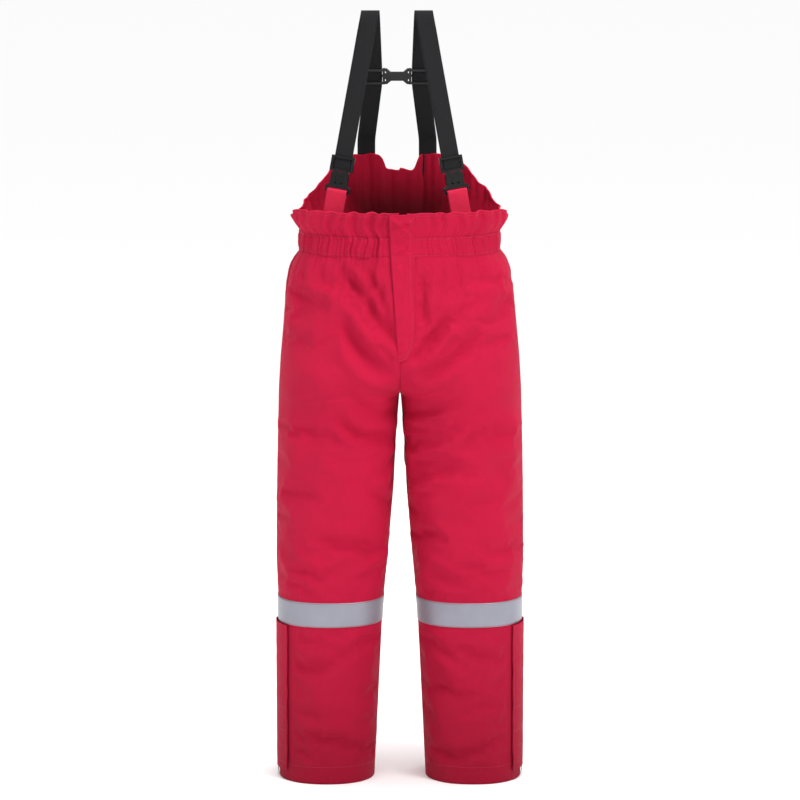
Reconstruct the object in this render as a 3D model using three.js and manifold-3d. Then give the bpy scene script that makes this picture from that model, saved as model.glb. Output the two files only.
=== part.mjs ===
// Bunker pants: insulated over-trousers with a high back, a fly, side leg zips and clip-on braces.
// Millimetres, +Z up. The front faces -Y and +X is the wearer's left. Heights are counted from the
// hem while the pieces are made, and the whole is then hung from the top of its braces.
import * as THREE from 'three';
import { mergeVertices } from 'three/addons/utils/BufferGeometryUtils.js';
import Module from 'manifold-3d';

const wasm = await Module();
wasm.setup();

// ---- driving dimensions: fabric and gaps -------------------------------------------------------
const CLEAR = 0.3;              // between pieces that touch
const SHELL = 1.6;              // outer fabric
const LINING = 3.0;             // quilted lining
const SEAM_HALF = 0.15;         // half the gap where two panels are sewn

// ---- driving dimensions: heights ---------------------------------------------------------------
const INSEAM = 796;             // hem to crotch
const RISE = 281;               // crotch to the waistband
const CASING_HEIGHT = 38;
const RUFFLE_HEIGHT = 50;       // gathered edge above the waistband
const BIB_CENTRE_RISE = 109;    // back bib above the waistband, at the middle
const BIB_LOBE_RISE = 143;      // and where the braces pull it up
const BIB_SIDE_RISE = 32;
const BRACE_RISE = 443;         // top of the waistband to the top of the braces

// ---- driving dimensions: half widths and half depths -------------------------------------------
const HEM_OUTER = 246;
const HIP_OUTER = 239;
const WAIST_OUTER = 197;
const RUFFLE_OUTER = 216;
const HEM_GAP = 52;             // middle of the garment to the inside of the leg, at the hem
const LEG_DEPTH = 99;
const SEAT_FRONT = 126;
const SEAT_BACK = 140;
const WAIST_FRONT = 111.4;
const WAIST_BACK = 117;
const RUFFLE_LEAN = 9;          // how far the gathered edge leans out
const ROUNDNESS = 2.25;         // exponent of the sections' superellipse

// ---- driving dimensions: trims -----------------------------------------------------------------
const BAND_WIDTH = 50;
const BAND_HEIGHT = 349;        // middle of the reflective band above the hem
const BAND_THICK = 0.6;
const HEM_FACING = 11;
const ELASTIC_THICK = 1.4;
const CASING_DEPTH = 6;
const FACING_THICK = 4;
const LEG_ZIP_FOOT = 16;
const LEG_ZIP_LENGTH = 298;
const LEG_SLIT_HALF = 9;
const FLAP_FOOT = 21;
const FLAP_THICK = 1.8;
const FLAP_STAND = 3.6;         // storm flap clear of the leg, over its hook and loop patches
const FLAP_HINGE_ANGLE = THREE.MathUtils.degToRad(-10);
const FLAP_EDGE_ANGLE = THREE.MathUtils.degToRad(40);
const PATCH_GAP = 0.5;           // between the two faces of the touch fastener
const PATCH_THICK = (FLAP_STAND - 5 * CLEAR - PATCH_GAP) / 2;
const PATCH_LENGTH = 90;
const FLY_FOOT = 72;            // foot of the fly above the crotch
const FLY_HINGE_X = 28;
const FLY_EDGE_TOP_X = -22;
const FLY_EDGE_FOOT_X = -3;
const FLY_SLIT_RIGHT = 2;
const FLY_SLIT_LEFT = 14;
const FLY_FLAP_THICK = 2;
const FLY_STAND = 3.2;
const TEETH_WIDTH = 6;
const TEETH_THICK = 2;
const TAPE_THICK = 0.8;
const FLY_ZIP_DEPTH = 4.2;      // front of the tape behind the outer fabric's face
const LEG_TAPE_DEPTH = 2.9;

// ---- driving dimensions: braces ----------------------------------------------------------------
const WEBBING_WIDTH = 36;
const WEBBING_THICK = 1.6;
const BRACE_SHIFT = -6;         // the braces hang a little towards the wearer's right
const CREST_X = 52.6;
const YOKE_X = 47.5;
const BIB_X = 62;
const CREST_FRONT = 8;          // front run leaves the crest this far forward
const FRONT_SPREAD = 0.183;     // sideways run of the front webbing for each mm down
const FRONT_LEAN = 0.143;       // forward run of the same
const FRONT_YAW = THREE.MathUtils.degToRad(12);
const ADJUSTER_DROP = 303;      // crest to the middle of the adjuster
const YOKE_DROP = 140;          // crest to the middle of the yoke connector
const SEWN_LENGTH = 95;         // webbing sewn down the outside of the bib
const RAIL = 5;                 // plastic rails and bars
const BAR_THICK = 1.9;
const BAR_HEIGHT = 5;
const ADJUSTER_HEIGHT = 31;
const YOKE_HEIGHT = 34;
const YOKE_WAIST = 19;
const YOKE_THICK = 3.5;
const YOKE_HOLE = 3.3;
const SOCKET_HALF = 18;
const SOCKET_HEIGHT = 33;
const SOCKET_WALL = 1.8;
const PLUG_THICK = 3.1;
const PLUG_HALF = 13;
const PRONG = 4;
const TONGUE_HALF = 7.7;
const TONGUE_HEIGHT = 15;
const TAB_HALF = 20;
const TAB_THICK = 1.6;
const TAB_LENGTH = 88;

// ---- heights that follow -----------------------------------------------------------------------
const WAIST_Z = INSEAM + RISE;
const CASING_TOP = WAIST_Z + CASING_HEIGHT;
const FACING_FOOT = CASING_TOP + CLEAR;
const RUFFLE_TOP = CASING_TOP + RUFFLE_HEIGHT;
const CREST_Z = CASING_TOP + BRACE_RISE;
const FLY_Z = INSEAM + FLY_FOOT;
const LEG_ZIP_TOP = LEG_ZIP_FOOT + LEG_ZIP_LENGTH;
const BAND_FOOT = BAND_HEIGHT - BAND_WIDTH / 2;
const FLAP_TOP = BAND_FOOT - 2;
const TUNNEL_WALL = SHELL;
const SIDES = [{ name: 'right', sign: -1 }, { name: 'left', sign: 1 }];

// ---- materials ---------------------------------------------------------------------------------
const material = (color, roughness, metalness = 0) =>
  new THREE.MeshStandardMaterial({ color, roughness, metalness });
const SHELL_RED = material(0xc92146, 0.62);
const LINING_RED = material(0x7d1426, 0.85);
const TAB_RED = material(0xdc324d, 0.7);
const WEBBING_BLACK = material(0x25252a, 0.75);
const PLASTIC_BLACK = material(0x0b0b0e, 0.32);
const SILVER_TAPE = material(0xa1a0aa, 0.42);
const ELASTIC_WHITE = material(0xdad6cc, 0.9);
const ZIP_RED = material(0x8d1a2e, 0.7);
const ZIP_METAL = material(0x3a3a3e, 0.35, 0.8);
const PATCH_RED = material(0x9c1a33, 0.95);

// ---- small geometry tools ----------------------------------------------------------------------
/** Value at x on a line through the knots, each [x, value], flat past both ends. */
function onKnots(knots, x) {
  if (x <= knots[0][0]) return knots[0][1];
  for (let i = 1; i < knots.length; i += 1) {
    const [x0, y0] = knots[i - 1];
    const [x1, y1] = knots[i];
    if (x <= x1) return y0 + (y1 - y0) * ((x - x0) / (x1 - x0));
  }
  return knots[knots.length - 1][1];
}

function signedVolume(positions, index) {
  const at = (i) => new THREE.Vector3(...positions.slice(3 * i, 3 * i + 3));
  let sum = 0;
  for (let i = 0; i < index.length; i += 3) {
    sum += at(index[i]).dot(at(index[i + 1]).cross(at(index[i + 2])));
  }
  return sum / 6;
}

/** Closed solid between two layers of a grid; pointAt(u, v, layer) takes whole steps u and v. */
function layeredSolid(columns, rows, pointAt) {
  const positions = [];
  const index = [];
  const stride = columns + 1;
  const layerSize = stride * (rows + 1);
  const id = (u, v, layer) => layer * layerSize + v * stride + u;
  const quad = (a, b, c, d) => index.push(a, b, c, a, c, d);
  for (let layer = 0; layer < 2; layer += 1) {
    for (let v = 0; v <= rows; v += 1) {
      for (let u = 0; u <= columns; u += 1) positions.push(...pointAt(u, v, layer).toArray());
    }
  }
  for (let v = 0; v < rows; v += 1) {
    for (let u = 0; u < columns; u += 1) {
      quad(id(u, v, 0), id(u + 1, v, 0), id(u + 1, v + 1, 0), id(u, v + 1, 0));
      index.push(id(u, v, 1), id(u + 1, v + 1, 1), id(u + 1, v, 1));
      index.push(id(u, v, 1), id(u, v + 1, 1), id(u + 1, v + 1, 1));
    }
    quad(id(0, v, 0), id(0, v + 1, 0), id(0, v + 1, 1), id(0, v, 1));
    quad(id(columns, v + 1, 0), id(columns, v, 0), id(columns, v, 1), id(columns, v + 1, 1));
  }
  for (let u = 0; u < columns; u += 1) {
    quad(id(u + 1, 0, 0), id(u, 0, 0), id(u, 0, 1), id(u + 1, 0, 1));
    quad(id(u, rows, 0), id(u + 1, rows, 0), id(u + 1, rows, 1), id(u, rows, 1));
  }
  if (signedVolume(positions, index) < 0) index.reverse();
  const geometry = new THREE.BufferGeometry();
  geometry.setAttribute('position', new THREE.Float32BufferAttribute(positions, 3));
  geometry.setIndex(index);
  return geometry;
}

/** A manifold-3d solid from a closed three.js geometry. */
function solid(geometry) {
  const bare = geometry.clone();
  bare.deleteAttribute('normal');
  bare.deleteAttribute('uv');
  const merged = mergeVertices(bare, 1e-4);
  return new wasm.Manifold(new wasm.Mesh({
    numProp: 3,
    vertProperties: new Float32Array(merged.attributes.position.array),
    triVerts: new Uint32Array(merged.index.array),
  }));
}

function fromSolid(manifold) {
  const mesh = manifold.getMesh();
  const geometry = new THREE.BufferGeometry();
  geometry.setAttribute('position', new THREE.BufferAttribute(mesh.vertProperties, 3));
  geometry.setIndex(new THREE.BufferAttribute(mesh.triVerts, 1));
  return geometry;
}

const join = (...geometries) => fromSolid(geometries.map(solid).reduce((a, b) => a.add(b)));
const cut = (body, ...tools) => fromSolid(tools.map(solid).reduce((a, b) => a.subtract(b), solid(body)));

/** Box between two corners. */
function box(x0, x1, y0, y1, z0, z1) {
  const geometry = new THREE.BoxGeometry(x1 - x0, y1 - y0, z1 - z0);
  return geometry.translate((x0 + x1) / 2, (y0 + y1) / 2, (z0 + z1) / 2);
}

const HOLE_SIDES = 12;

/** Points of an outline, turned anticlockwise so that holes can run clockwise. */
function outerLoop(outline) {
  const points = outline.map(([x, y]) => new THREE.Vector2(x, y));
  return THREE.ShapeUtils.isClockWise(points) ? points.reverse() : points;
}

/** Plate with an outline in XZ and its thickness along Y, from y0 to y1. */
function plate(outline, y0, y1, holes = []) {
  const shape = new THREE.Shape(outerLoop(outline));
  for (const [x, z, radius] of holes) {
    const angles = Array.from({ length: HOLE_SIDES }, (_, i) => (-2 * Math.PI * i) / HOLE_SIDES);
    const rim = angles.map((a) => new THREE.Vector2(x + radius * Math.cos(a), z + radius * Math.sin(a)));
    shape.holes.push(new THREE.Path(rim));
  }
  const geometry = new THREE.ExtrudeGeometry(shape, { depth: y1 - y0, bevelEnabled: false });
  return geometry.rotateX(Math.PI / 2).translate(0, y1, 0);
}

function mesh(name, geometry, look) {
  const piece = new THREE.Mesh(geometry, look);
  piece.name = name;
  return piece;
}

// ---- the garment's sections --------------------------------------------------------------------
const legHeight = (share) => share * INSEAM;
const riseHeight = (share) => INSEAM + share * RISE;

// Outer edge, inner edge, front depth and back depth of one side's section, by height. Past the
// crotch the inner edge swings over to the other side, so that the section opens into the trunk.
const OUTER_EDGE = [
  [0, HEM_OUTER], [legHeight(0.47), HEM_OUTER + 1], [legHeight(0.57), HEM_OUTER + 3],
  [legHeight(0.75), HEM_OUTER + 1], [INSEAM, HIP_OUTER + 4], [riseHeight(0.24), HIP_OUTER],
  [riseHeight(0.72), HIP_OUTER - 13], [riseHeight(0.9), HIP_OUTER - 23], [WAIST_Z, WAIST_OUTER + 2],
  [CASING_TOP, WAIST_OUTER], [CASING_TOP + BIB_SIDE_RISE * 0.7, RUFFLE_OUTER], [RUFFLE_TOP, RUFFLE_OUTER],
];
const INNER_EDGE = [
  [0, HEM_GAP], [legHeight(0.44), HEM_GAP - 17], [legHeight(0.57), HEM_GAP - 27],
  [legHeight(0.75), 13], [legHeight(0.88), 8], [INSEAM - 6, SEAM_HALF],
  [INSEAM + 10, -20], [INSEAM + 34, -62], [INSEAM + 66, -112], [riseHeight(0.4), -170],
  [riseHeight(0.55), -207], [riseHeight(0.72), 13 - HIP_OUTER],
];
const FRONT_DEPTH = [
  [0, LEG_DEPTH], [legHeight(0.47), LEG_DEPTH], [legHeight(0.75), LEG_DEPTH + 8],
  [legHeight(0.96), LEG_DEPTH + 18], [INSEAM + 66, SEAT_FRONT], [CASING_TOP, WAIST_FRONT],
  [RUFFLE_TOP, WAIST_FRONT + RUFFLE_LEAN],
];
const BACK_DEPTH = [
  [0, LEG_DEPTH + 4], [legHeight(0.47), LEG_DEPTH + 4], [legHeight(0.75), LEG_DEPTH + 12],
  [INSEAM - 6, LEG_DEPTH + 32], [INSEAM + 66, SEAT_BACK], [riseHeight(0.55), SEAT_BACK - 3],
  [WAIST_Z, WAIST_BACK + 2], [CASING_TOP, WAIST_BACK], [CASING_TOP + BIB_LOBE_RISE, WAIST_BACK + 2],
];

const CROTCH_BLEND = [INSEAM + 10, INSEAM + 66];

/** Section of one side at a height, grown outwards by offset. */
function section(z, offset) {
  const outer = onKnots(OUTER_EDGE, z);
  const inner = z >= riseHeight(0.72) ? -outer : onKnots(INNER_EDGE, z);
  const centre = (outer + inner) / 2;
  const half = (outer - inner) / 2;
  // Above the crotch the front depth is the one at the centre seam, so that the fly lies flat.
  const blend = THREE.MathUtils.clamp((z - CROTCH_BLEND[0]) / (CROTCH_BLEND[1] - CROTCH_BLEND[0]), 0, 1);
  const atCentre = (1 - (centre / half) ** ROUNDNESS) ** (1 / ROUNDNESS);
  return {
    centre,
    half: half + offset,
    front: onKnots(FRONT_DEPTH, z) / (blend > 0 ? atCentre ** blend : 1) + offset,
    back: onKnots(BACK_DEPTH, z) + offset,
  };
}

const softPower = (value) => Math.sign(value) * Math.abs(value) ** (2 / ROUNDNESS);

/** Point of a section: angle 0 is the side seam, positive angles run round the front. */
function sectionPoint(z, angle, offset) {
  const { centre, half, front, back } = section(z, offset);
  const sine = Math.sin(angle);
  const depth = sine > 0 ? front : back;
  return new THREE.Vector3(centre + half * softPower(Math.cos(angle)), -depth * softPower(sine), z);
}

/** Angle at which a section of this depth stands y away from the seam line. */
const angleAtDepth = (depth, y) => Math.asin((y / depth) ** (ROUNDNESS / 2));

/** Angle at which a section meets the plane x, or the inseam where it doesn't reach that plane. */
function angleAtPlane({ centre, half }, x) {
  const reach = (x - centre) / half;
  if (reach <= -1) return Math.PI;
  return Math.acos(Math.sign(reach) * Math.abs(reach) ** (ROUNDNESS / 2));
}

/** Depth of the trunk's surface at a place x: face 1 is the front, -1 the back. */
function surfaceY(z, x, face, offset) {
  const shape = section(z, offset);
  return sectionPoint(z, face * angleAtPlane(shape, Math.abs(x)), offset).y;
}

/** Heights of a piece's rows: its own ends and steps, and every knot of the outline between. */
function rowHeights(foot, top, steps = []) {
  const knots = [OUTER_EDGE, INNER_EDGE, FRONT_DEPTH, BACK_DEPTH].flat().map(([z]) => z);
  const inside = [...knots, ...steps].filter((z) => z > foot + 1 && z < top - 1).sort((a, b) => a - b);
  const apart = inside.filter((z, i) => i === 0 || z - inside[i - 1] > 0.5);
  return [foot, ...apart, top];
}

// ---- leg panels and linings --------------------------------------------------------------------
const PANEL_COLUMNS = 10;
const SLIT_STEP = 2;            // height over which a slit closes to a seam
const LINING_SETBACK = 9;       // lining's edge behind the fabric's edge, beside a zip
const PANEL_ROWS = [LEG_ZIP_TOP + SLIT_STEP, LEG_ZIP_TOP + 2 * SLIT_STEP, FLY_Z - SLIT_STEP, FLY_Z];

/** Points of one side's section at a height, from the side slit to the inseam or centre seam. */
function panelSection(z, face, flyHalf, offset) {
  const shape = section(z, offset);
  const depth = face > 0 ? shape.front : shape.back;
  const slit = z > LEG_ZIP_TOP + SLIT_STEP + 0.1 ? SEAM_HALF : LEG_SLIT_HALF;
  const plane = face > 0 && z > FLY_Z - 0.1 ? flyHalf : SEAM_HALF;
  const start = angleAtDepth(depth, slit);
  const end = Math.min(angleAtPlane(shape, plane), Math.PI - angleAtDepth(depth, SEAM_HALF));
  const step = (end - start) / PANEL_COLUMNS;
  return Array.from({ length: PANEL_COLUMNS + 1 },
    (_, i) => sectionPoint(z, face * (start + step * i), offset));
}

/** One layer of a leg, front or back; setback keeps a lining's edges off the zips. */
function legPanel({ sign, face, layers, foot, flyHalf, setback }) {
  const rows = rowHeights(foot, WAIST_Z - CLEAR, PANEL_ROWS);
  return layeredSolid(PANEL_COLUMNS, rows.length - 1, (u, v, layer) => {
    const z = rows[v];
    const points = panelSection(z, face, flyHalf, layers[layer]);
    const atSlit = u === 0 && z < LEG_ZIP_TOP + SLIT_STEP + 0.1;
    const atFly = u === PANEL_COLUMNS && face > 0 && z > FLY_Z - 0.1;
    const next = atSlit ? points[1] : points[PANEL_COLUMNS - 1];
    const point = points[u];
    if (atSlit || atFly) point.lerp(next, setback / point.distanceTo(next));
    return point.setX(point.x * sign);
  });
}

function addLegPanels(group) {
  const shellLayers = [0, -SHELL];
  const liningLayers = [-SHELL - CLEAR, -SHELL - CLEAR - LINING];
  for (const { name, sign } of SIDES) {
    const flyHalf = sign > 0 ? FLY_SLIT_LEFT : FLY_SLIT_RIGHT;
    for (const [where, face] of [['front', 1], ['back', -1]]) {
      group.add(mesh(`${name}_leg_${where}_panel`, legPanel({
        sign, face, layers: shellLayers, foot: 0, flyHalf, setback: 0,
      }), SHELL_RED));
      group.add(mesh(`${name}_leg_${where}_lining`, legPanel({
        sign, face, layers: liningLayers, foot: HEM_FACING + 2 * CLEAR, flyHalf, setback: LINING_SETBACK,
      }), LINING_RED));
    }
  }
}

// ---- ribbons that follow a section -------------------------------------------------------------
/** Ribbon on one side's section between two angles and two heights. */
function ribbon({ sign = 1, from, to, columns, foot, top, layers }) {
  const rows = rowHeights(foot, top);
  return layeredSolid(columns, rows.length - 1, (u, v, layer) => {
    const angle = from + (to - from) * (u / columns);
    const point = sectionPoint(rows[v], angle, layers[layer]);
    return point.setX(point.x * sign);
  });
}

function addReflectiveBands(group) {
  const seam = angleAtDepth(LEG_DEPTH, SEAM_HALF * 2);
  for (const { name, sign } of SIDES) {
    group.add(mesh(`${name}_reflective_band`, ribbon({
      sign, from: seam - Math.PI, to: Math.PI - seam, columns: 2 * PANEL_COLUMNS,
      foot: BAND_FOOT, top: BAND_FOOT + BAND_WIDTH, layers: [3 * CLEAR + BAND_THICK, 3 * CLEAR],
    }), SILVER_TAPE));
  }
}

function addHemFacings(group) {
  const slit = angleAtDepth(LEG_DEPTH, LEG_SLIT_HALF + 6);
  for (const { name, sign } of SIDES) {
    group.add(mesh(`${name}_hem_facing`, ribbon({
      sign, from: slit, to: 2 * Math.PI - slit, columns: 2 * PANEL_COLUMNS,
      foot: CLEAR, top: HEM_FACING, layers: [-SHELL - 3 * CLEAR, -SHELL - 3 * CLEAR - SHELL],
    }), SHELL_RED));
  }
}

// ---- waistband, ruffle and bib -----------------------------------------------------------------
const WAIST_COLUMNS = 36;

/** Ribbon round the trunk from the left edge of the fly, round the back, to its right edge. */
function waistRibbon(foot, top, layers, pastEnds = 0) {
  const rows = [foot, top];
  return layeredSolid(WAIST_COLUMNS, 1, (u, v, layer) => {
    const shape = section(rows[v], layers[layer]);
    const from = angleAtPlane(shape, FLY_SLIT_LEFT - pastEnds);
    const to = -Math.PI - angleAtPlane(shape, FLY_SLIT_RIGHT - pastEnds);
    return sectionPoint(rows[v], from + (to - from) * (u / WAIST_COLUMNS), layers[layer]);
  });
}

function addWaistband(group) {
  const tunnel = [-TUNNEL_WALL, TUNNEL_WALL - CASING_DEPTH];
  const middle = (tunnel[0] + tunnel[1]) / 2;
  const casing = cut(
    waistRibbon(WAIST_Z, CASING_TOP, [0, -CASING_DEPTH]),
    waistRibbon(WAIST_Z + TUNNEL_WALL, CASING_TOP - TUNNEL_WALL, tunnel, 1),
  );
  group.add(mesh('waistband_casing', casing, SHELL_RED));
  group.add(mesh('waist_elastic', waistRibbon(
    WAIST_Z + TUNNEL_WALL + 2 * CLEAR, CASING_TOP - TUNNEL_WALL - 2 * CLEAR,
    [middle + ELASTIC_THICK / 2, middle - ELASTIC_THICK / 2], -1,
  ), ELASTIC_WHITE));
}

function addFrontFacings(group) {
  const columns = 10;
  const rows = rowHeights(FACING_FOOT, RUFFLE_TOP);
  for (const { name, sign } of SIDES) {
    const flyHalf = sign > 0 ? FLY_SLIT_LEFT : FLY_SLIT_RIGHT;
    const facing = layeredSolid(columns, rows.length - 1, (u, v, layer) => {
      const offset = -layer * FACING_THICK;
      // The side end of the gathered edge dips to meet the bib's tip.
      const share = u / columns;
      const height = RUFFLE_HEIGHT - (RUFFLE_HEIGHT - BIB_SIDE_RISE) * Math.max(0, 1 - share * 5);
      const z = FACING_FOOT + (rows[v] - FACING_FOOT) * (height / RUFFLE_HEIGHT);
      const shape = section(z, offset);
      const start = angleAtDepth(shape.front, SEAM_HALF);
      const end = angleAtPlane(shape, flyHalf);
      const point = sectionPoint(z, start + (end - start) * share, offset);
      return point.setX(point.x * sign);
    });
    group.add(mesh(`${name}_front_facing`, facing, SHELL_RED));
  }
}

/** Height of the bib's top edge above the waistband, by distance from the middle. */
const BIB_EDGE = [
  [0, BIB_CENTRE_RISE], [BIB_X - 26, BIB_CENTRE_RISE], [BIB_X - 17, BIB_LOBE_RISE - 2],
  [BIB_X + 28, BIB_LOBE_RISE], [BIB_X + 74, BIB_LOBE_RISE - 23], [BIB_X + 98, BIB_CENTRE_RISE - 19],
  [BIB_X + 122, BIB_SIDE_RISE + 32], [RUFFLE_OUTER, BIB_SIDE_RISE],
];

function addBackBib(group) {
  const columns = 40;
  const rows = 3;
  const bib = layeredSolid(columns, rows, (u, v, layer) => {
    const offset = -layer * FACING_THICK;
    const start = angleAtDepth(WAIST_BACK, SEAM_HALF);
    const angle = -(start + (Math.PI - 2 * start) * (u / columns));
    const rise = onKnots(BIB_EDGE, Math.abs(sectionPoint(RUFFLE_TOP, angle, 0).x));
    return sectionPoint(FACING_FOOT + (rise - CLEAR) * (v / rows), angle, offset);
  });
  group.add(mesh('back_bib', bib, SHELL_RED));
}

// ---- zips --------------------------------------------------------------------------------------
const SLIDER_HEIGHT = 12;
const SLIDER_WALL = 1.6;
const SLIDER_PLATE = 1.8;
const PIVOT_RADIUS = 1.4;
const PULLER_THICK = 1.0;
const PULLER_HALF = 3.2;

/** Tape with a ridge of teeth on its front, standing on z = 0, the tape's front at y = 0. */
function zipChain(tapeWidth, length) {
  return join(
    box(-tapeWidth / 2, tapeWidth / 2, 0, TAPE_THICK, 0, length),
    box(-TEETH_WIDTH / 2, TEETH_WIDTH / 2, -TEETH_THICK, TAPE_THICK / 2, 0, length),
  );
}

/** Channel round the teeth with a pivot stud on its front; the stud stands on z = 0. */
function zipSlider() {
  const inner = TEETH_WIDTH / 2 + CLEAR;
  const outer = inner + SLIDER_WALL;
  const face = -TEETH_THICK - CLEAR;
  const front = face - SLIDER_PLATE;
  const stud = new THREE.CylinderGeometry(PIVOT_RADIUS, PIVOT_RADIUS, PULLER_THICK + 2 * CLEAR + 0.5, 12);
  return join(
    box(-outer, outer, front, face, -3, SLIDER_HEIGHT - 3),
    box(-outer, -inner, front, -CLEAR, -3, SLIDER_HEIGHT - 3),
    box(inner, outer, front, -CLEAR, -3, SLIDER_HEIGHT - 3),
    stud.translate(0, front - (PULLER_THICK + 2 * CLEAR) / 2 + 0.25, 0),
  );
}

/** Flat pull that hangs from the stud at z = 0. */
function zipPuller(length) {
  const y1 = -TEETH_THICK - 2 * CLEAR - SLIDER_PLATE;
  const hole = PIVOT_RADIUS + CLEAR;
  const outline = [
    [-PULLER_HALF, 2], [-1.6, 3.6], [1.6, 3.6], [PULLER_HALF, 2], [PULLER_HALF, -3],
    [2.2, -length], [-2.2, -length], [-PULLER_HALF, -3],
  ];
  return plate(outline, y1 - PULLER_THICK, y1, [[0, 0, hole]]);
}

/** The three pieces of a zip in a frame of their own, whose front faces -Y. */
function addZip(group, names, { tapeWidth, length, sliderAt, pullLength }) {
  const slider = mesh(names.slider, zipSlider(), ZIP_METAL);
  const puller = mesh(names.puller, zipPuller(pullLength), ZIP_METAL);
  slider.position.z = sliderAt;
  puller.position.z = sliderAt;
  group.add(mesh(names.chain, zipChain(tapeWidth, length), ZIP_RED), slider, puller);
}

const LEG_PULL = 15;
const LEG_SLIDER_AT = 2.5;

function addLegZips(group) {
  for (const { name, sign } of SIDES) {
    const frame = new THREE.Group();
    // At the side seam the leg's surface faces sideways, so the zip's front is turned that way.
    frame.rotation.z = sign * Math.PI / 2;
    frame.position.set(sign * (HEM_OUTER - LEG_TAPE_DEPTH), 0, LEG_ZIP_FOOT);
    addZip(frame, {
      chain: `${name}_leg_zip_chain`, slider: `${name}_leg_zip_slider`, puller: `${name}_leg_zip_puller`,
    }, {
      tapeWidth: 2 * LEG_SLIT_HALF - 4 * CLEAR, length: LEG_ZIP_LENGTH,
      sliderAt: LEG_SLIDER_AT, pullLength: LEG_PULL,
    });
    group.add(frame);
  }
}

// ---- storm flaps -------------------------------------------------------------------------------
function addStormFlaps(group) {
  const patchFrom = FLAP_EDGE_ANGLE - THREE.MathUtils.degToRad(14);
  const patchTo = FLAP_EDGE_ANGLE - THREE.MathUtils.degToRad(2);
  const patchFoot = FLAP_FOOT + 90;
  const loopFace = 2 * CLEAR + PATCH_THICK;
  const hookFace = FLAP_STAND - 3 * CLEAR;
  for (const { name, sign } of SIDES) {
    group.add(mesh(`${name}_leg_zip_flap`, ribbon({
      sign, from: FLAP_HINGE_ANGLE, to: FLAP_EDGE_ANGLE, columns: 5,
      foot: FLAP_FOOT, top: FLAP_TOP, layers: [FLAP_STAND + FLAP_THICK, FLAP_STAND],
    }), SHELL_RED));
    group.add(mesh(`${name}_leg_loop_patch`, ribbon({
      sign, from: patchFrom, to: patchTo, columns: 2,
      foot: patchFoot, top: patchFoot + PATCH_LENGTH, layers: [loopFace, 2 * CLEAR],
    }), PATCH_RED));
    group.add(mesh(`${name}_leg_hook_patch`, ribbon({
      sign, from: patchFrom, to: patchTo, columns: 2,
      foot: patchFoot, top: patchFoot + PATCH_LENGTH, layers: [hookFace, hookFace - PATCH_THICK],
    }), PATCH_RED));
  }
}

// ---- fly ---------------------------------------------------------------------------------------
/** Group whose XZ plane lies on the flat front of the fly, at the foot of the fly. */
function flyFrame() {
  const foot = onKnots(FRONT_DEPTH, FLY_Z);
  const frame = new THREE.Group();
  frame.position.set((FLY_SLIT_LEFT - FLY_SLIT_RIGHT) / 2, -foot, FLY_Z);
  frame.rotation.x = -Math.atan2(foot - WAIST_FRONT, CASING_TOP - FLY_Z);
  return frame;
}

function addFly(group) {
  const frame = flyFrame();
  const slit = FLY_SLIT_RIGHT + FLY_SLIT_LEFT;
  const length = Math.hypot(CASING_TOP - FLY_Z, onKnots(FRONT_DEPTH, FLY_Z) - WAIST_FRONT) - 6;
  const zip = new THREE.Group();
  zip.position.set(0, FLY_ZIP_DEPTH, 4);
  addZip(zip, { chain: 'fly_zip_chain', slider: 'fly_zip_slider', puller: 'fly_zip_puller' },
    { tapeWidth: slit - 4 * CLEAR, length: length - 4, sliderAt: length - 22, pullLength: 20 });
  const shieldFront = Math.max(FLY_ZIP_DEPTH + TAPE_THICK, CASING_DEPTH) + 1;
  const shield = box(-slit / 2 - 10, slit / 2 + 10, shieldFront, shieldFront + SHELL, 2, length);
  frame.add(zip, mesh('fly_shield', shield, SHELL_RED));
  group.add(frame, mesh('fly_flap', flyFlap(), SHELL_RED));
}

function flyFlap() {
  const rows = rowHeights(FLY_Z + 2, RUFFLE_TOP);
  const columns = 2;
  const freeEdge = [[FLY_Z, FLY_EDGE_FOOT_X], [WAIST_Z, FLY_EDGE_TOP_X + 4], [RUFFLE_TOP, FLY_EDGE_TOP_X]];
  return layeredSolid(columns, rows.length - 1, (u, v, layer) => {
    const z = rows[v];
    const edge = onKnots(freeEdge, z);
    const y = -onKnots(FRONT_DEPTH, z) - FLY_STAND - (layer === 0 ? FLY_FLAP_THICK : 0);
    return new THREE.Vector3(edge + (FLY_HINGE_X - edge) * (u / columns), y, z);
  });
}

/** Hook on the back of the flap and bar on the right end of the waistband. */
function addWaistCatch(group) {
  const z = (WAIST_Z + CASING_TOP) / 2;
  const frame = new THREE.Group();
  frame.position.set(-FLY_SLIT_RIGHT - 9, -onKnots(FRONT_DEPTH, z), z);
  frame.rotation.x = flyFrame().rotation.x;
  const bar = join(
    box(-6, 6, -1.3, -2 * CLEAR, -6, -3),
    box(-6, 6, -1.3, -2 * CLEAR, 3, 6),
    box(-1.5, 1.5, -1.3, -2 * CLEAR, -6, 6),
  );
  const hook = box(-5, 5, -2.7, -1.7, -7, 7);
  frame.add(mesh('waist_bar', bar, ZIP_METAL), mesh('waist_hook', hook, ZIP_METAL));
  group.add(frame);
}

// ---- braces ------------------------------------------------------------------------------------
/** Flat strap along stations { at, across }: across is its width direction. */
function strap(stations, width, thickness) {
  const along = stations.map(({ at }, i) => {
    const before = stations[Math.max(0, i - 1)].at;
    const after = stations[Math.min(stations.length - 1, i + 1)].at;
    return after.clone().sub(before).normalize();
  });
  return layeredSolid(1, stations.length - 1, (u, v, layer) => {
    const { at, across } = stations[v];
    const wide = across.clone().addScaledVector(along[v], -across.dot(along[v])).normalize();
    const normal = wide.clone().cross(along[v]);
    return at.clone()
      .addScaledVector(wide, (u - 0.5) * width)
      .addScaledVector(normal, (layer - 0.5) * thickness);
  });
}

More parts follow.
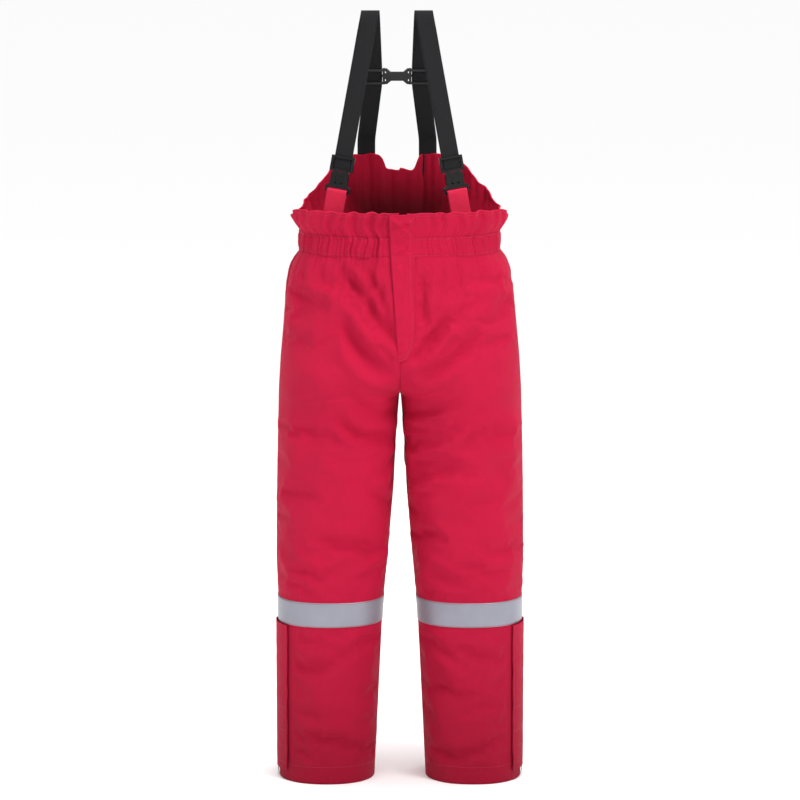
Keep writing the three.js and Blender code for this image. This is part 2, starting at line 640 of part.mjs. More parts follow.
/** Point on the straight front run, this far below the crest. */
function frontRun(sign, drop) {
  return new THREE.Vector3(
    sign * (CREST_X + FRONT_SPREAD * drop) + BRACE_SHIFT, -CREST_FRONT - FRONT_LEAN * drop, CREST_Z - drop);
}

/** Group on the front run: Z up along it, X across it, -Y to the front. */
function frontRunFrame(sign, drop) {
  const up = frontRun(sign, 0).sub(frontRun(sign, 100)).normalize();
  const yawed = new THREE.Vector3(Math.cos(FRONT_YAW), sign * Math.sin(FRONT_YAW), 0);
  const inward = up.clone().cross(yawed).normalize();
  const across = inward.clone().cross(up);
  const frame = new THREE.Group();
  frame.quaternion.setFromRotationMatrix(new THREE.Matrix4().makeBasis(across, inward, up));
  frame.position.copy(frontRun(sign, drop));
  return { frame, across };
}

/** Webbing over one shoulder: how far behind the crest and how far below it each station lies. */
const ARCH_FALL = 18;
const ARCH_BACK = 12;
const SHOULDER_ARCH = [[-11, ARCH_FALL], [-9, 9], [-5, 2.5], [0, 0], [5, 2.5], [9, 9], [ARCH_BACK, ARCH_FALL]];

/** Route of one side's webbing, from its tail at the adjuster over the crest to the bib. */
function braceStations(sign) {
  const { across } = frontRunFrame(sign, 0);
  const level = new THREE.Vector3(1, 0, 0);
  const place = (x, y, z) => new THREE.Vector3(sign * x + BRACE_SHIFT, y, z);
  const tail = ADJUSTER_DROP + ADJUSTER_HEIGHT / 2 - 1;
  const stations = [];
  for (const drop of [tail, ADJUSTER_DROP - 120, 90]) stations.push({ at: frontRun(sign, drop), across });
  stations.push({ at: frontRun(sign, 40), across: across.clone().lerp(level, 0.6).normalize() });
  const top = CREST_Z - WEBBING_THICK / 2;
  for (const [y, fall] of SHOULDER_ARCH) {
    stations.push({ at: place(CREST_X, y, top - fall), across: level });
  }
  const yokeBack = yokeCentre().y;
  const bibTop = CASING_TOP + BIB_LOBE_RISE;
  const half = YOKE_HEIGHT / 2 + 4;
  const slope = backSlope();
  for (const step of [half, -half]) {
    const at = place(YOKE_X, yokeBack - step * slope, CREST_Z - YOKE_DROP + step);
    stations.push({ at, across: level });
  }
  // Sewn down the outside of the bib, lying along its curve.
  for (const z of [bibTop + 12, bibTop - 30, bibTop - SEWN_LENGTH]) {
    const x = sign * BIB_X + BRACE_SHIFT;
    const step = WEBBING_WIDTH / 2;
    const lift = WEBBING_THICK / 2 + 2 * CLEAR;
    const edge = (dx) => new THREE.Vector3(x + dx, surfaceY(z, x + dx, -1, lift), z);
    const chord = edge(step).sub(edge(-step)).normalize();
    const at = edge(0).lerp(edge(step).add(edge(-step)).multiplyScalar(0.5), 0.1);
    stations.push({ at: at.setY(at.y + 0.4), across: chord });
  }
  return stations;
}

/** Rearward run of the back webbing for each mm down, and the yoke connector's middle on it. */
function backSlope() {
  const bibTop = CASING_TOP + BIB_LOBE_RISE + 12;
  const bibBack = surfaceY(bibTop, BIB_X, -1, WEBBING_THICK);
  return (bibBack - ARCH_BACK) / (CREST_Z - ARCH_FALL - bibTop);
}

function yokeCentre() {
  const back = ARCH_BACK + backSlope() * (YOKE_DROP - ARCH_FALL);
  return new THREE.Vector3(BRACE_SHIFT, back, CREST_Z - YOKE_DROP);
}

/** Frame of rails and bars that the webbing passes straight through, centred on x. */
function ladderPieces(x, height, frontDepth) {
  const rail = WEBBING_WIDTH / 2 + 2 * CLEAR;
  const near = WEBBING_THICK / 2 + CLEAR;
  const far = near + BAR_THICK;
  const half = height / 2;
  const reach = rail + RAIL;
  return [
    box(x - reach, x - rail, -frontDepth, far, -half, half),
    box(x + rail, x + reach, -frontDepth, far, -half, half),
    box(x - reach, x + reach, -far, -near, half - BAR_HEIGHT, half),
    box(x - reach, x + reach, near, far, -BAR_HEIGHT / 2, BAR_HEIGHT / 2),
    box(x - reach, x + reach, -far, -near, -half, BAR_HEIGHT - half),
  ];
}

const LADDER_FAR = WEBBING_THICK / 2 + CLEAR + BAR_THICK;
const PLUG_BACK = -(WEBBING_THICK / 2 + CLEAR);
const PLUG_FRONT = PLUG_BACK - PLUG_THICK;
const SOCKET_TOP = -ADJUSTER_HEIGHT / 2 - 2 * CLEAR;
const SOCKET_FOOT = SOCKET_TOP - SOCKET_HEIGHT;

/** Adjuster: a ladder on the webbing with a two-pronged plug below it. */
function adjuster() {
  const foot = -ADJUSTER_HEIGHT / 2;
  const tip = SOCKET_FOOT + 9;
  return join(
    ...ladderPieces(0, ADJUSTER_HEIGHT, LADDER_FAR),
    box(-PLUG_HALF, PLUG_HALF, PLUG_FRONT, PLUG_BACK, foot, foot + BAR_HEIGHT),
    box(-PLUG_HALF, PRONG - PLUG_HALF, PLUG_FRONT, PLUG_BACK, tip, foot + BAR_HEIGHT),
    box(PLUG_HALF - PRONG, PLUG_HALF, PLUG_FRONT, PLUG_BACK, tip, foot + BAR_HEIGHT),
  );
}

/** Socket: a box open at the top for the plug, a window for the tongue, a loop bar at the foot. */
function socket() {
  const front = PLUG_FRONT - CLEAR - SOCKET_WALL;
  const back = PLUG_BACK + CLEAR + SOCKET_WALL;
  const loopFoot = SOCKET_FOOT - 9;
  const lug = TAB_HALF + 2 * CLEAR;
  const outline = [
    [-SOCKET_HALF, SOCKET_TOP - 3], [3 - SOCKET_HALF, SOCKET_TOP], [SOCKET_HALF - 3, SOCKET_TOP],
    [SOCKET_HALF, SOCKET_TOP - 3], [SOCKET_HALF, SOCKET_FOOT + 8], [lug + RAIL, SOCKET_FOOT + 3],
    [lug + RAIL, SOCKET_FOOT], [-lug - RAIL, SOCKET_FOOT], [-lug - RAIL, SOCKET_FOOT + 3],
    [-SOCKET_HALF, SOCKET_FOOT + 8],
  ];
  const shell = join(
    plate(outline, front, back),
    box(-lug - RAIL, -lug, -2, back, loopFoot, SOCKET_FOOT + 1),
    box(lug, lug + RAIL, -2, back, loopFoot, SOCKET_FOOT + 1),
    box(-lug - RAIL, lug + RAIL, -2, back, loopFoot, loopFoot + 4),
  );
  const mouth = box(-PLUG_HALF - CLEAR, PLUG_HALF + CLEAR, PLUG_FRONT - CLEAR, PLUG_BACK + CLEAR,
    SOCKET_FOOT + 7, SOCKET_TOP + 1);
  const gap = TONGUE_HALF + CLEAR;
  const tongueTop = SOCKET_FOOT + 9 + TONGUE_HEIGHT;
  const window = box(-gap, gap, front - 1, PLUG_FRONT, SOCKET_FOOT + 9 - CLEAR, tongueTop + CLEAR);
  return cut(shell, mouth, window);
}

function releaseTongue() {
  const front = PLUG_FRONT - CLEAR - SOCKET_WALL;
  const foot = SOCKET_FOOT + 9;
  const top = foot + TONGUE_HEIGHT;
  const outline = [
    [-TONGUE_HALF, top], [TONGUE_HALF, top], [TONGUE_HALF, foot + 4], [2, foot], [-2, foot],
    [-TONGUE_HALF, foot + 4],
  ];
  return plate(outline, front, PLUG_FRONT + 0.8);
}

/** Tab: fabric folded over the socket's loop bar, both layers sewn together below it. */
function braceTab() {
  const loopFoot = SOCKET_FOOT - 9;
  const back = PLUG_BACK + CLEAR + SOCKET_WALL;
  const innerFront = -2 - 2 * CLEAR;
  const innerBack = back + 2 * CLEAR;
  const roof = loopFoot + 4 + CLEAR;
  const middle = (innerFront + innerBack) / 2;
  const outline = new THREE.Shape(outerLoop([
    [innerFront - TAB_THICK, roof], [innerFront - TAB_THICK + 1, roof + TAB_THICK],
    [innerBack + TAB_THICK - 1, roof + TAB_THICK], [innerBack + TAB_THICK, roof],
    [innerBack + TAB_THICK, loopFoot - 1], [middle + TAB_THICK, loopFoot - 8],
    [middle + TAB_THICK, roof - TAB_LENGTH], [middle - TAB_THICK, roof - TAB_LENGTH],
    [middle - TAB_THICK, loopFoot - 8], [innerFront - TAB_THICK, loopFoot - 1],
  ]));
  outline.holes.push(new THREE.Path(outerLoop([
    [innerFront, roof], [innerFront, loopFoot - CLEAR], [middle, loopFoot - 4],
    [innerBack, loopFoot - CLEAR], [innerBack, roof],
  ]).reverse()));
  const geometry = new THREE.ExtrudeGeometry(outline, { depth: 2 * TAB_HALF, bevelEnabled: false });
  const turn = new THREE.Matrix4().makeBasis(
    new THREE.Vector3(0, 1, 0), new THREE.Vector3(0, 0, 1), new THREE.Vector3(1, 0, 0));
  return geometry.applyMatrix4(turn).translate(-TAB_HALF, 0, 0);
}

function addBraces(group) {
  for (const { name, sign } of SIDES) {
    group.add(mesh(`${name}_brace_webbing`, strap(braceStations(sign), WEBBING_WIDTH, WEBBING_THICK),
      WEBBING_BLACK));
    const { frame } = frontRunFrame(sign, ADJUSTER_DROP);
    frame.add(
      mesh(`${name}_brace_adjuster`, adjuster(), PLASTIC_BLACK),
      mesh(`${name}_buckle_socket`, socket(), PLASTIC_BLACK),
      mesh(`${name}_release_tongue`, releaseTongue(), PLASTIC_BLACK),
      mesh(`${name}_brace_tab`, braceTab(), TAB_RED),
    );
    group.add(frame);
  }
}

/** Yoke connector: a ladder on each back run, joined by a waisted plate with four round holes. */
function addYoke(group) {
  const half = YOKE_HEIGHT / 2;
  const edge = YOKE_X - WEBBING_WIDTH / 2 - 2 * CLEAR;
  const hole = [edge - 4, half * 0.52];
  const corners = [[edge, half], [edge - 9, half], [edge - 17, YOKE_WAIST / 2]];
  const outline = [
    ...corners, ...corners.map(([x, z]) => [-x, z]).reverse(),
    ...corners.map(([x, z]) => [-x, -z]), ...corners.map(([x, z]) => [x, -z]).reverse(),
  ];
  const holes = [-1, 1].flatMap((a) => [-1, 1].map((b) => [a * hole[0], b * hole[1], YOKE_HOLE]));
  const connector = join(
    plate(outline, -YOKE_THICK / 2, YOKE_THICK / 2, holes),
    ...ladderPieces(-YOKE_X, YOKE_HEIGHT, LADDER_FAR),
    ...ladderPieces(YOKE_X, YOKE_HEIGHT, LADDER_FAR),
  );
  const frame = new THREE.Group();
  frame.position.copy(yokeCentre());
  frame.rotation.x = Math.atan(backSlope());
  frame.add(mesh('yoke_connector', connector, PLASTIC_BLACK));
  group.add(frame);
}

// ---- assembly ----------------------------------------------------------------------------------
const garment = new THREE.Group();
addLegPanels(garment);
addReflectiveBands(garment);
addHemFacings(garment);
addWaistband(garment);
addFrontFacings(garment);
addBackBib(garment);
addLegZips(garment);
addStormFlaps(garment);
addFly(garment);
addWaistCatch(garment);
addBraces(garment);
addYoke(garment);
garment.position.z = -CREST_Z;

const group = new THREE.Group();
group.add(garment);

export default group;
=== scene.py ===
"""Looks of a pair of bunker pants: gathered waist, high back, fly, side leg zips and clip-on braces.

Sizes are in millimetres with heights counted from the hem, as the cutter works; in_frame turns them into
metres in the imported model's frame.
"""

import logging
import math
from dataclasses import dataclass, field
from enum import Enum
from typing import Callable, Sequence

import bpy
import numpy as np
from mathutils import Matrix, Vector


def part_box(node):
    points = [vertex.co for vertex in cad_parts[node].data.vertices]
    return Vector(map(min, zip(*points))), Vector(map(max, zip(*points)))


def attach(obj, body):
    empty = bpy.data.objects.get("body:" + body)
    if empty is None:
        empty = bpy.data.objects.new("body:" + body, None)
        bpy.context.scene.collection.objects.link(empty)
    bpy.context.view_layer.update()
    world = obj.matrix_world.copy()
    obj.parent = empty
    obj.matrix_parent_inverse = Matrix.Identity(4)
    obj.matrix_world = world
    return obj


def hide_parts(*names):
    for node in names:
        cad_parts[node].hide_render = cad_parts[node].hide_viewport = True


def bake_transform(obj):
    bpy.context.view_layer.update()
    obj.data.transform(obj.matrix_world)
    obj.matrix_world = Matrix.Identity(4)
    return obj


LOG = logging.getLogger("bunker_pants")
MM = 0.001

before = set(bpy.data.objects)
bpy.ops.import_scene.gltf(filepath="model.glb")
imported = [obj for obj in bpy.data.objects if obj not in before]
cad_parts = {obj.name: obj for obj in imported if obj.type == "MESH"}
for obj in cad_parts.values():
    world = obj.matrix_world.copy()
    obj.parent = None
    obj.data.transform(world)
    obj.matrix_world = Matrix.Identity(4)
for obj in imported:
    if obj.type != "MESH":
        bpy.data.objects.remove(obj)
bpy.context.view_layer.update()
HEM_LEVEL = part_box("left_leg_front_panel")[0].z

# ---- sizes shared with the frame -----------------------------------------------------------------
INSEAM = 796.0
WAIST = (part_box("waistband_casing")[0].z - HEM_LEVEL) / MM
CASING_TOP = (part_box("waistband_casing")[1].z - HEM_LEVEL) / MM
RUFFLE_TOP = (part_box("left_front_facing")[1].z - HEM_LEVEL) / MM
CREST = (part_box("left_brace_webbing")[1].z - HEM_LEVEL) / MM
RISE = WAIST - INSEAM
ROUNDNESS = 2.25
SHELL = 1.6
FLY_FOOT = INSEAM + 72.0
FLY_LEFT = 28.0
FLY_RIGHT_TOP = -22.0
FLY_RIGHT_FOOT = -3.0
SLIT_HALF = 9.0
SLIT_TOP = 316.0
BAND_FOOT = 324.0
BAND_WIDTH = 50.0
FLAP_FOOT = 21.0
FLAP_TOP = BAND_FOOT - 2.0
BRACE_SHIFT = -6.0
CREST_X = 52.6
YOKE_X = 47.5
BIB_X = 62.0
FRONT_SPREAD = 0.183
FRONT_LEAN = 0.143
FRONT_YAW = math.radians(12.0)
ADJUSTER_DROP = 303.0
WEBBING_WIDTH = 36.0
WEBBING_THICK = 1.6
FLAP_TACKS = (37.0, 70.0, 102.0, 150.0)
FLAP_STITCH = 0.93
NO_SIDE = 9.0


class Side(Enum):
    """Which side of the wearer a piece is on; the value is the sign of its x."""

    RIGHT = -1
    LEFT = 1

    @property
    def word(self) -> str:
        """Word used in piece names."""
        return self.name.lower()


class Face(Enum):
    """Front or back of the garment; the value is the sign of its section angle."""

    FRONT = 1
    BACK = -1

    @property
    def word(self) -> str:
        """Word used in piece names."""
        return self.name.lower()


# ---- shader maths ----------------------------------------------------------------------------------
class Value:
    """A number socket of a shader tree, so that sums on it add their Math nodes."""

    def __init__(self, tree: bpy.types.NodeTree, socket: bpy.types.NodeSocket) -> None:
        """Wrap one output socket."""
        self.tree = tree
        self.socket = socket

    def _math(self, operation: str, *inputs: object) -> "Value":
        """Add a Math node.

        Args:
            operation: the node's operation.
            inputs: values, numbers or Value objects, in order.

        Returns:
            The node's result.
        """
        node = self.tree.nodes.new("ShaderNodeMath")
        node.operation = operation
        for slot, item in zip(node.inputs, inputs):
            if isinstance(item, Value):
                self.tree.links.new(item.socket, slot)
            else:
                slot.default_value = float(item)
        return Value(self.tree, node.outputs[0])

    def __add__(self, other: object) -> "Value":
        """Sum."""
        return self._math("ADD", self, other)

    __radd__ = __add__

    def __sub__(self, other: object) -> "Value":
        """Difference."""
        return self._math("SUBTRACT", self, other)

    def __rsub__(self, other: object) -> "Value":
        """Difference, the other way round."""
        return self._math("SUBTRACT", other, self)

    def __mul__(self, other: object) -> "Value":
        """Product."""
        return self._math("MULTIPLY", self, other)

    __rmul__ = __mul__

    def __truediv__(self, other: object) -> "Value":
        """Quotient."""
        return self._math("DIVIDE", self, other)

    def sine(self) -> "Value":
        """Sine, in radians."""
        return self._math("SINE", self)

    def size(self) -> "Value":
        """Absolute value."""
        return self._math("ABSOLUTE", self)

    def larger(self, other: "Value") -> "Value":
        """Larger of this and another value."""
        return self._math("MAXIMUM", self, other)


class Shader:
    """A material under construction: one Principled shader and the nodes that feed it."""

    def __init__(self, name: str, **uniform: object) -> None:
        """Make the material and set its shader's uniform sockets.

        Args:
            name: the material's name.
            uniform: Principled socket names, with _ for a space, and their values.
        """
        self.material = bpy.data.materials.new(name)
        self.material.use_nodes = True
        self.tree = self.material.node_tree
        self.principled = self.tree.nodes["Principled BSDF"]
        for key, value in uniform.items():
            self.principled.inputs[key.replace("_", " ")].default_value = value

    def node(self, kind: str, settings: dict | None = None, **inputs: object) -> bpy.types.Node:
        """Add a node.

        Args:
            kind: the node's type.
            settings: attributes of the node, set before its sockets.
            inputs: socket names, with _ for a space, and a value, Value or socket for each.

        Returns:
            The node.
        """
        made = self.tree.nodes.new(kind)
        for key, value in (settings or {}).items():
            setattr(made, key, value)
        for key, item in inputs.items():
            slot = made.inputs[key.replace("_", " ")]
            if isinstance(item, Value):
                self.tree.links.new(item.socket, slot)
            elif isinstance(item, bpy.types.NodeSocket):
                self.tree.links.new(item, slot)
            else:
                slot.default_value = item
        return made

    def value(self, socket: bpy.types.NodeSocket) -> Value:
        """Wrap a socket for arithmetic."""
        return Value(self.tree, socket)

    def feed(self, socket_name: str, source: object) -> None:
        """Link a Value or a socket to one of the Principled shader's inputs."""
        socket = source.socket if isinstance(source, Value) else source
        self.tree.links.new(socket, self.principled.inputs[socket_name])

    def uv(self) -> tuple[Value, Value]:
        """Both axes of the piece's own UV map, in metres along and across the cloth."""
        node = self.node("ShaderNodeUVMap", {"uv_map": "cloth"})
        split = self.node("ShaderNodeSeparateXYZ", Vector=node.outputs["UV"])
        return self.value(split.outputs["X"]), self.value(split.outputs["Y"])

    def place(self) -> bpy.types.NodeSocket:
        """Object coordinates."""
        return self.node("ShaderNodeTexCoord").outputs["Object"]

    def noise(self, scale: float, detail: float = 3.0, where: object = None,
              roughness: float = 0.5) -> Value:
        """Noise at a scale per metre, about 0.5."""
        node = self.node("ShaderNodeTexNoise", Vector=where or self.place(), Scale=scale, Detail=detail,
                         Roughness=roughness)
        return self.value(node.outputs[0])

    def blend(self, factor: object, low: Sequence[float], high: Sequence[float]) -> bpy.types.NodeSocket:
        """Colour between two colours."""
        mix = self.tree.nodes.new("ShaderNodeMix")
        mix.data_type = "RGBA"
        if isinstance(factor, Value):
            self.tree.links.new(factor.socket, mix.inputs["Factor"])
        for name, colour in (("A", low), ("B", high)):
            slot = next(s for s in mix.inputs if s.name == name and s.type == "RGBA")
            if isinstance(colour, bpy.types.NodeSocket):
                self.tree.links.new(colour, slot)
            else:
                slot.default_value = (*colour, 1.0)
        return next(s for s in mix.outputs if s.type == "RGBA")

    def bump(self, height: Value, distance: float, strength: float = 1.0) -> None:
        """Feed the normal from a height, with the relief's depth in metres."""
        node = self.node("ShaderNodeBump", Height=height, Distance=distance, Strength=strength)
        self.feed("Normal", node.outputs["Normal"])


def linear(hex_code: str) -> tuple[float, float, float]:
    """Linear colour of an sRGB hex code."""
    parts = [int(hex_code[i:i + 2], 16) / 255.0 for i in (0, 2, 4)]
    return tuple(p / 12.92 if p <= 0.04045 else ((p + 0.055) / 1.055) ** 2.4 for p in parts)


@dataclass(frozen=True)
class TwillFabric:
    """Satin-faced twill of the outer fabric: fine diagonal lines, mottling, soft creases and an optional
    painted shade that darkens it low down and near the middle.
    """

    name: str = "twill_red"
    light: str = "D81945"
    dark: str = "B20F36"
    thread: float = 0.00062
    roughness: float = 0.66
    sheen: float = 0.03
    # Painted shade: a darker colour painted in as shade low in the frame and near the middle; the height
    # pair and the side pair set where it fades out.
    painted_shade: str | None = None
    painted_shade_from: float = 0.0
    painted_shade_to: float = 0.0
    painted_shade_side_from: float = 0.06
    painted_shade_side_to: float = 0.15

    def build(self) -> bpy.types.Material:
        """Make the material."""
        shader = Shader(self.name, Roughness=self.roughness, Sheen_Weight=self.sheen, Sheen_Roughness=0.35,
                        Sheen_Tint=(1.0, 0.42, 0.5, 1.0), Specular_IOR_Level=0.12)
        along, across = shader.uv()
        diagonal = ((along + across) * (2 * math.pi / self.thread)).sine()
        weft = (across * (2 * math.pi / (self.thread * 0.5))).sine()
        cloud = shader.noise(9.0, 4.0)
        slub = shader.noise(420.0, 2.0)
        shade = cloud * 0.62 + slub * 0.26 + diagonal * 0.05
        colour = shader.blend(shade, linear(self.dark), linear(self.light))
        # Painted shade: the colour is blended towards a darker shade colour low in the frame (object z) and
        # near the middle (object |x|); lit is 1 where no shade is painted.
        if self.painted_shade:
            split = shader.node("ShaderNodeSeparateXYZ", Vector=shader.place())
            shade_by_height = shader.node("ShaderNodeMapRange", {"interpolation_type": "SMOOTHSTEP"},
                               Value=shader.value(split.outputs["Z"]), From_Min=self.painted_shade_from,
                               From_Max=self.painted_shade_to)
            side = shader.node("ShaderNodeMapRange", {"interpolation_type": "SMOOTHSTEP"},
                               Value=shader.value(split.outputs["X"]).size(), From_Min=self.painted_shade_side_from,
                               From_Max=self.painted_shade_side_to)
            lit = shader.value(shade_by_height.outputs["Result"]).larger(shader.value(side.outputs["Result"]))
            colour = shader.blend(lit, linear(self.painted_shade), colour)
        shader.feed("Base Color", colour)
        shader.feed("Roughness", cloud * 0.16 + (self.roughness - 0.06))
        crease = shader.noise(38.0, 5.0, roughness=0.62)
        fine = shader.noise(160.0, 3.0)
        relief = crease * 1.0 + fine * 0.22 + diagonal * 0.035 + weft * 0.015
        shader.bump(relief, 0.0034, 0.75)
        return shader.material


@dataclass(frozen=True)
class QuiltLining:
    """Soft brushed lining, darker than the outer fabric."""

    name: str = "lining_red"

    def build(self) -> bpy.types.Material:
        """Make the material."""
        shader = Shader(self.name, Roughness=0.9, Sheen_Weight=0.3)
        cloud = shader.noise(24.0, 4.0)
        shader.feed("Base Color", shader.blend(cloud, linear("6E0D20"), linear("8F1A30")))
        shader.bump(shader.noise(300.0, 3.0), 0.0006, 0.6)
        return shader.material


@dataclass(frozen=True)
class RibbedWebbing:
    """Elastic webbing: ribs across its width with rubber-edged ridges along it."""

    name: str = "webbing_black"
    rib: float = 0.0013
    light: str = "151519"
    dark: str = "060608"

    def build(self) -> bpy.types.Material:
        """Make the material."""
        shader = Shader(self.name, Roughness=0.7, Sheen_Weight=0.06, Sheen_Roughness=0.4,
                        Specular_IOR_Level=0.25)
        across, along = shader.uv()
        ribs = (along * (2 * math.pi / self.rib)).sine()
        warp = (across * (2 * math.pi / 0.0021)).sine()
        fuzz = shader.noise(700.0, 3.0)
        shade = ribs * 0.16 + warp * 0.12 + fuzz * 0.7 + 0.05
        shader.feed("Base Color", shader.blend(shade, linear(self.dark), linear(self.light)))
        shader.bump(ribs * 0.5 + warp * 0.35 + fuzz * 0.3, 0.0004, 0.8)
        return shader.material


@dataclass(frozen=True)
class MouldedPlastic:
    """Black acetal of the buckles: satin with a fine moulded grain."""

    name: str = "plastic_black"

    def build(self) -> bpy.types.Material:
        """Make the material."""
        shader = Shader(self.name, Specular_IOR_Level=0.4, Coat_Weight=0.08, Coat_Roughness=0.25)
        smear = shader.noise(60.0, 4.0)
        shader.feed("Base Color", shader.blend(smear, linear("020203"), linear("08080A")))
        shader.feed("Roughness", smear * 0.2 + 0.24)
        shader.bump(shader.noise(2600.0, 2.0) + smear * 0.3, 0.00012, 0.5)
        return shader.material


@dataclass(frozen=True)
class ReflectiveTape:
    """Silver retroreflective tape: fine bead grain, faint scuffs and a soft metal face."""

    name: str = "tape_silver"

    def build(self) -> bpy.types.Material:
        """Make the material."""
        shader = Shader(self.name, Metallic=0.45, Sheen_Weight=0.2)
        bead = shader.node("ShaderNodeTexVoronoi", Vector=shader.place(), Scale=1900.0)
        beads = shader.value(bead.outputs["Distance"])
        scuff = shader.noise(45.0, 5.0, roughness=0.65)
        cloud = shader.noise(14.0, 2.0)
        shade = cloud * 0.55 + scuff * 0.35 + beads * 0.1
        shader.feed("Base Color", shader.blend(shade, linear("7F7E8A"), linear("A3A4B0")))
        shader.feed("Roughness", scuff * 0.25 + 0.36)
        shader.bump(beads * 0.3 + scuff * 0.8, 0.0005, 0.5)
        return shader.material


@dataclass(frozen=True)
class PlainThread:
    """Sewing thread, twisted."""

    name: str = "thread_red"
    light: str = "C2203F"
    dark: str = "8E122B"

    def build(self) -> bpy.types.Material:
        """Make the material."""
        shader = Shader(self.name, Roughness=0.6, Sheen_Weight=0.3)
        twist = shader.noise(900.0, 2.0)
        shader.feed("Base Color", shader.blend(twist, linear(self.dark), linear(self.light)))
        shader.bump(twist, 0.0002, 0.5)
        return shader.material


@dataclass(frozen=True)
class DarkMetal:
    """Enamelled metal of the zip sliders and pulls."""

    name: str = "metal_dark"

    def build(self) -> bpy.types.Material:
        """Make the material."""
        shader = Shader(self.name, Metallic=0.85)
        wear = shader.noise(220.0, 4.0)
        shader.feed("Base Color", shader.blend(wear, linear("202024"), linear("5A5A60")))
        shader.feed("Roughness", wear * 0.3 + 0.25)
        shader.bump(wear, 0.0001, 0.4)
        return shader.material


class Finishes:
    """Every material of the garment, made once."""

    def __init__(self) -> None:
        """Build them all."""
        # Painted shade on the outer twill: the lower legs are painted darker as shade, fully at the hem
        # (frame z -1.7 m) and fading out by -1.05 m, across the whole width.
        self.twill = TwillFabric(painted_shade="96092A", painted_shade_from=-1.7, painted_shade_to=-1.05, painted_shade_side_from=NO_SIDE,
                                 painted_shade_side_to=NO_SIDE + 1.0).build()
        # Painted shade on the inner faces: dark 55000A below frame z -0.43 m, fading out by -0.31 m, and
        # kept within about 60 to 150 mm of the middle.
        self.inside = TwillFabric(name="twill_red_inside", light="C80F38", dark="9E0829", sheen=0.05,
                                  painted_shade="55000A", painted_shade_from=-0.43, painted_shade_to=-0.31).build()
        self.tab = TwillFabric(name="tab_red", light="D6284A", dark="BD1B3C", thread=0.0011).build()
        self.lining = QuiltLining().build()
        self.webbing = RibbedWebbing().build()
        self.plastic = MouldedPlastic().build()
        self.tape = ReflectiveTape().build()
        self.thread = PlainThread().build()
        self.zip_tape = PlainThread(name="zip_tape_red", light="8F1A30", dark="6E1024").build()
        self.metal = DarkMetal().build()


# ---- the garment's surface -------------------------------------------------------------------------
def smooth_curve(knots: Sequence[tuple[float, float]], spread: float) -> Callable[[np.ndarray], np.ndarray]:
    """Curve through knots, rounded over a length.

    Args:
        knots: (height, value) pairs in rising order.
        spread: rounding length in mm.

    Returns:
        A function from heights to values.
    """
    heights, values = np.array(knots, float).T
    grid = np.arange(-60.0, 1500.0, 1.0)
    reach = int(3 * spread)
    kernel = np.exp(-0.5 * (np.arange(-reach, reach + 1) / spread) ** 2)
    dense = np.pad(np.interp(grid, heights, values), reach, mode="edge")
    rounded = np.convolve(dense, kernel / kernel.sum(), mode="valid")
    return lambda z: np.interp(z, grid, rounded)


def at_leg(share: float) -> float:
    """Height at a share of the inseam."""
    return share * INSEAM


def at_rise(share: float) -> float:
    """Height at a share of the rise."""
    return INSEAM + share * RISE


OUTER_EDGE = smooth_curve([
    (0, 245.5), (at_leg(0.47), 246.5), (at_leg(0.57), 249.5), (at_leg(0.75), 248), (INSEAM, 243.5),
    (at_rise(0.24), 239.5), (at_rise(0.72), 227), (at_rise(0.87), 219), (at_rise(0.95), 210), (WAIST, 198),
    (WAIST + 3, 197), (CASING_TOP, 197), (CASING_TOP + 12, 207), (CASING_TOP + 24, 215),
    (RUFFLE_TOP, 217)], 6.0)
INNER_EDGE = smooth_curve([
    (0, 52), (at_leg(0.44), 35), (at_leg(0.57), 25), (at_leg(0.75), 13), (at_leg(0.88), 8),
    (INSEAM - 6, 1), (INSEAM + 10, -20), (INSEAM + 34, -62), (INSEAM + 66, -112), (at_rise(0.4), -170),
    (at_rise(0.55), -207), (at_rise(0.72), -227), (1400, -227)], 4.0)
FRONT_DEPTH = smooth_curve([
    (0, 99), (at_leg(0.47), 99), (at_leg(0.75), 107), (at_leg(0.96), 117), (INSEAM + 66, 126),
    (CASING_TOP, 111.4), (RUFFLE_TOP, 120.4)], 5.0)
BACK_DEPTH = smooth_curve([
    (0, 103), (at_leg(0.47), 103), (at_leg(0.75), 111), (INSEAM - 6, 131), (INSEAM + 66, 140),
    (at_rise(0.55), 137), (WAIST, 119), (CASING_TOP, 117), (CASING_TOP + 143, 119)], 5.0)


def full_front_depth() -> Callable[[np.ndarray], np.ndarray]:
    """Depth at the middle of one side's section, so that both sides meet at the full front depth."""
    z = np.arange(-40.0, 1300.0, 4.0)
    outer, inner = OUTER_EDGE(z), INNER_EDGE(z)
    inner = np.where(z >= at_rise(0.72), -outer, inner)
    reach = np.clip(np.abs((outer + inner) / (outer - inner)), 0.0, 0.98)
    share = smooth_curve([(INSEAM + 4, 0.0), (INSEAM + 60, 1.0)], 12.0)(z)
    depth = FRONT_DEPTH(z) / (1 - reach ** ROUNDNESS) ** (share / ROUNDNESS)
    return smooth_curve(list(zip(z, depth)), 13.0)


FULL_FRONT_DEPTH = full_front_depth()


def soft_power(value: np.ndarray) -> np.ndarray:
    """Signed power that rounds an ellipse into the section's shape."""
    return np.sign(value) * np.abs(value) ** (2.0 / ROUNDNESS)


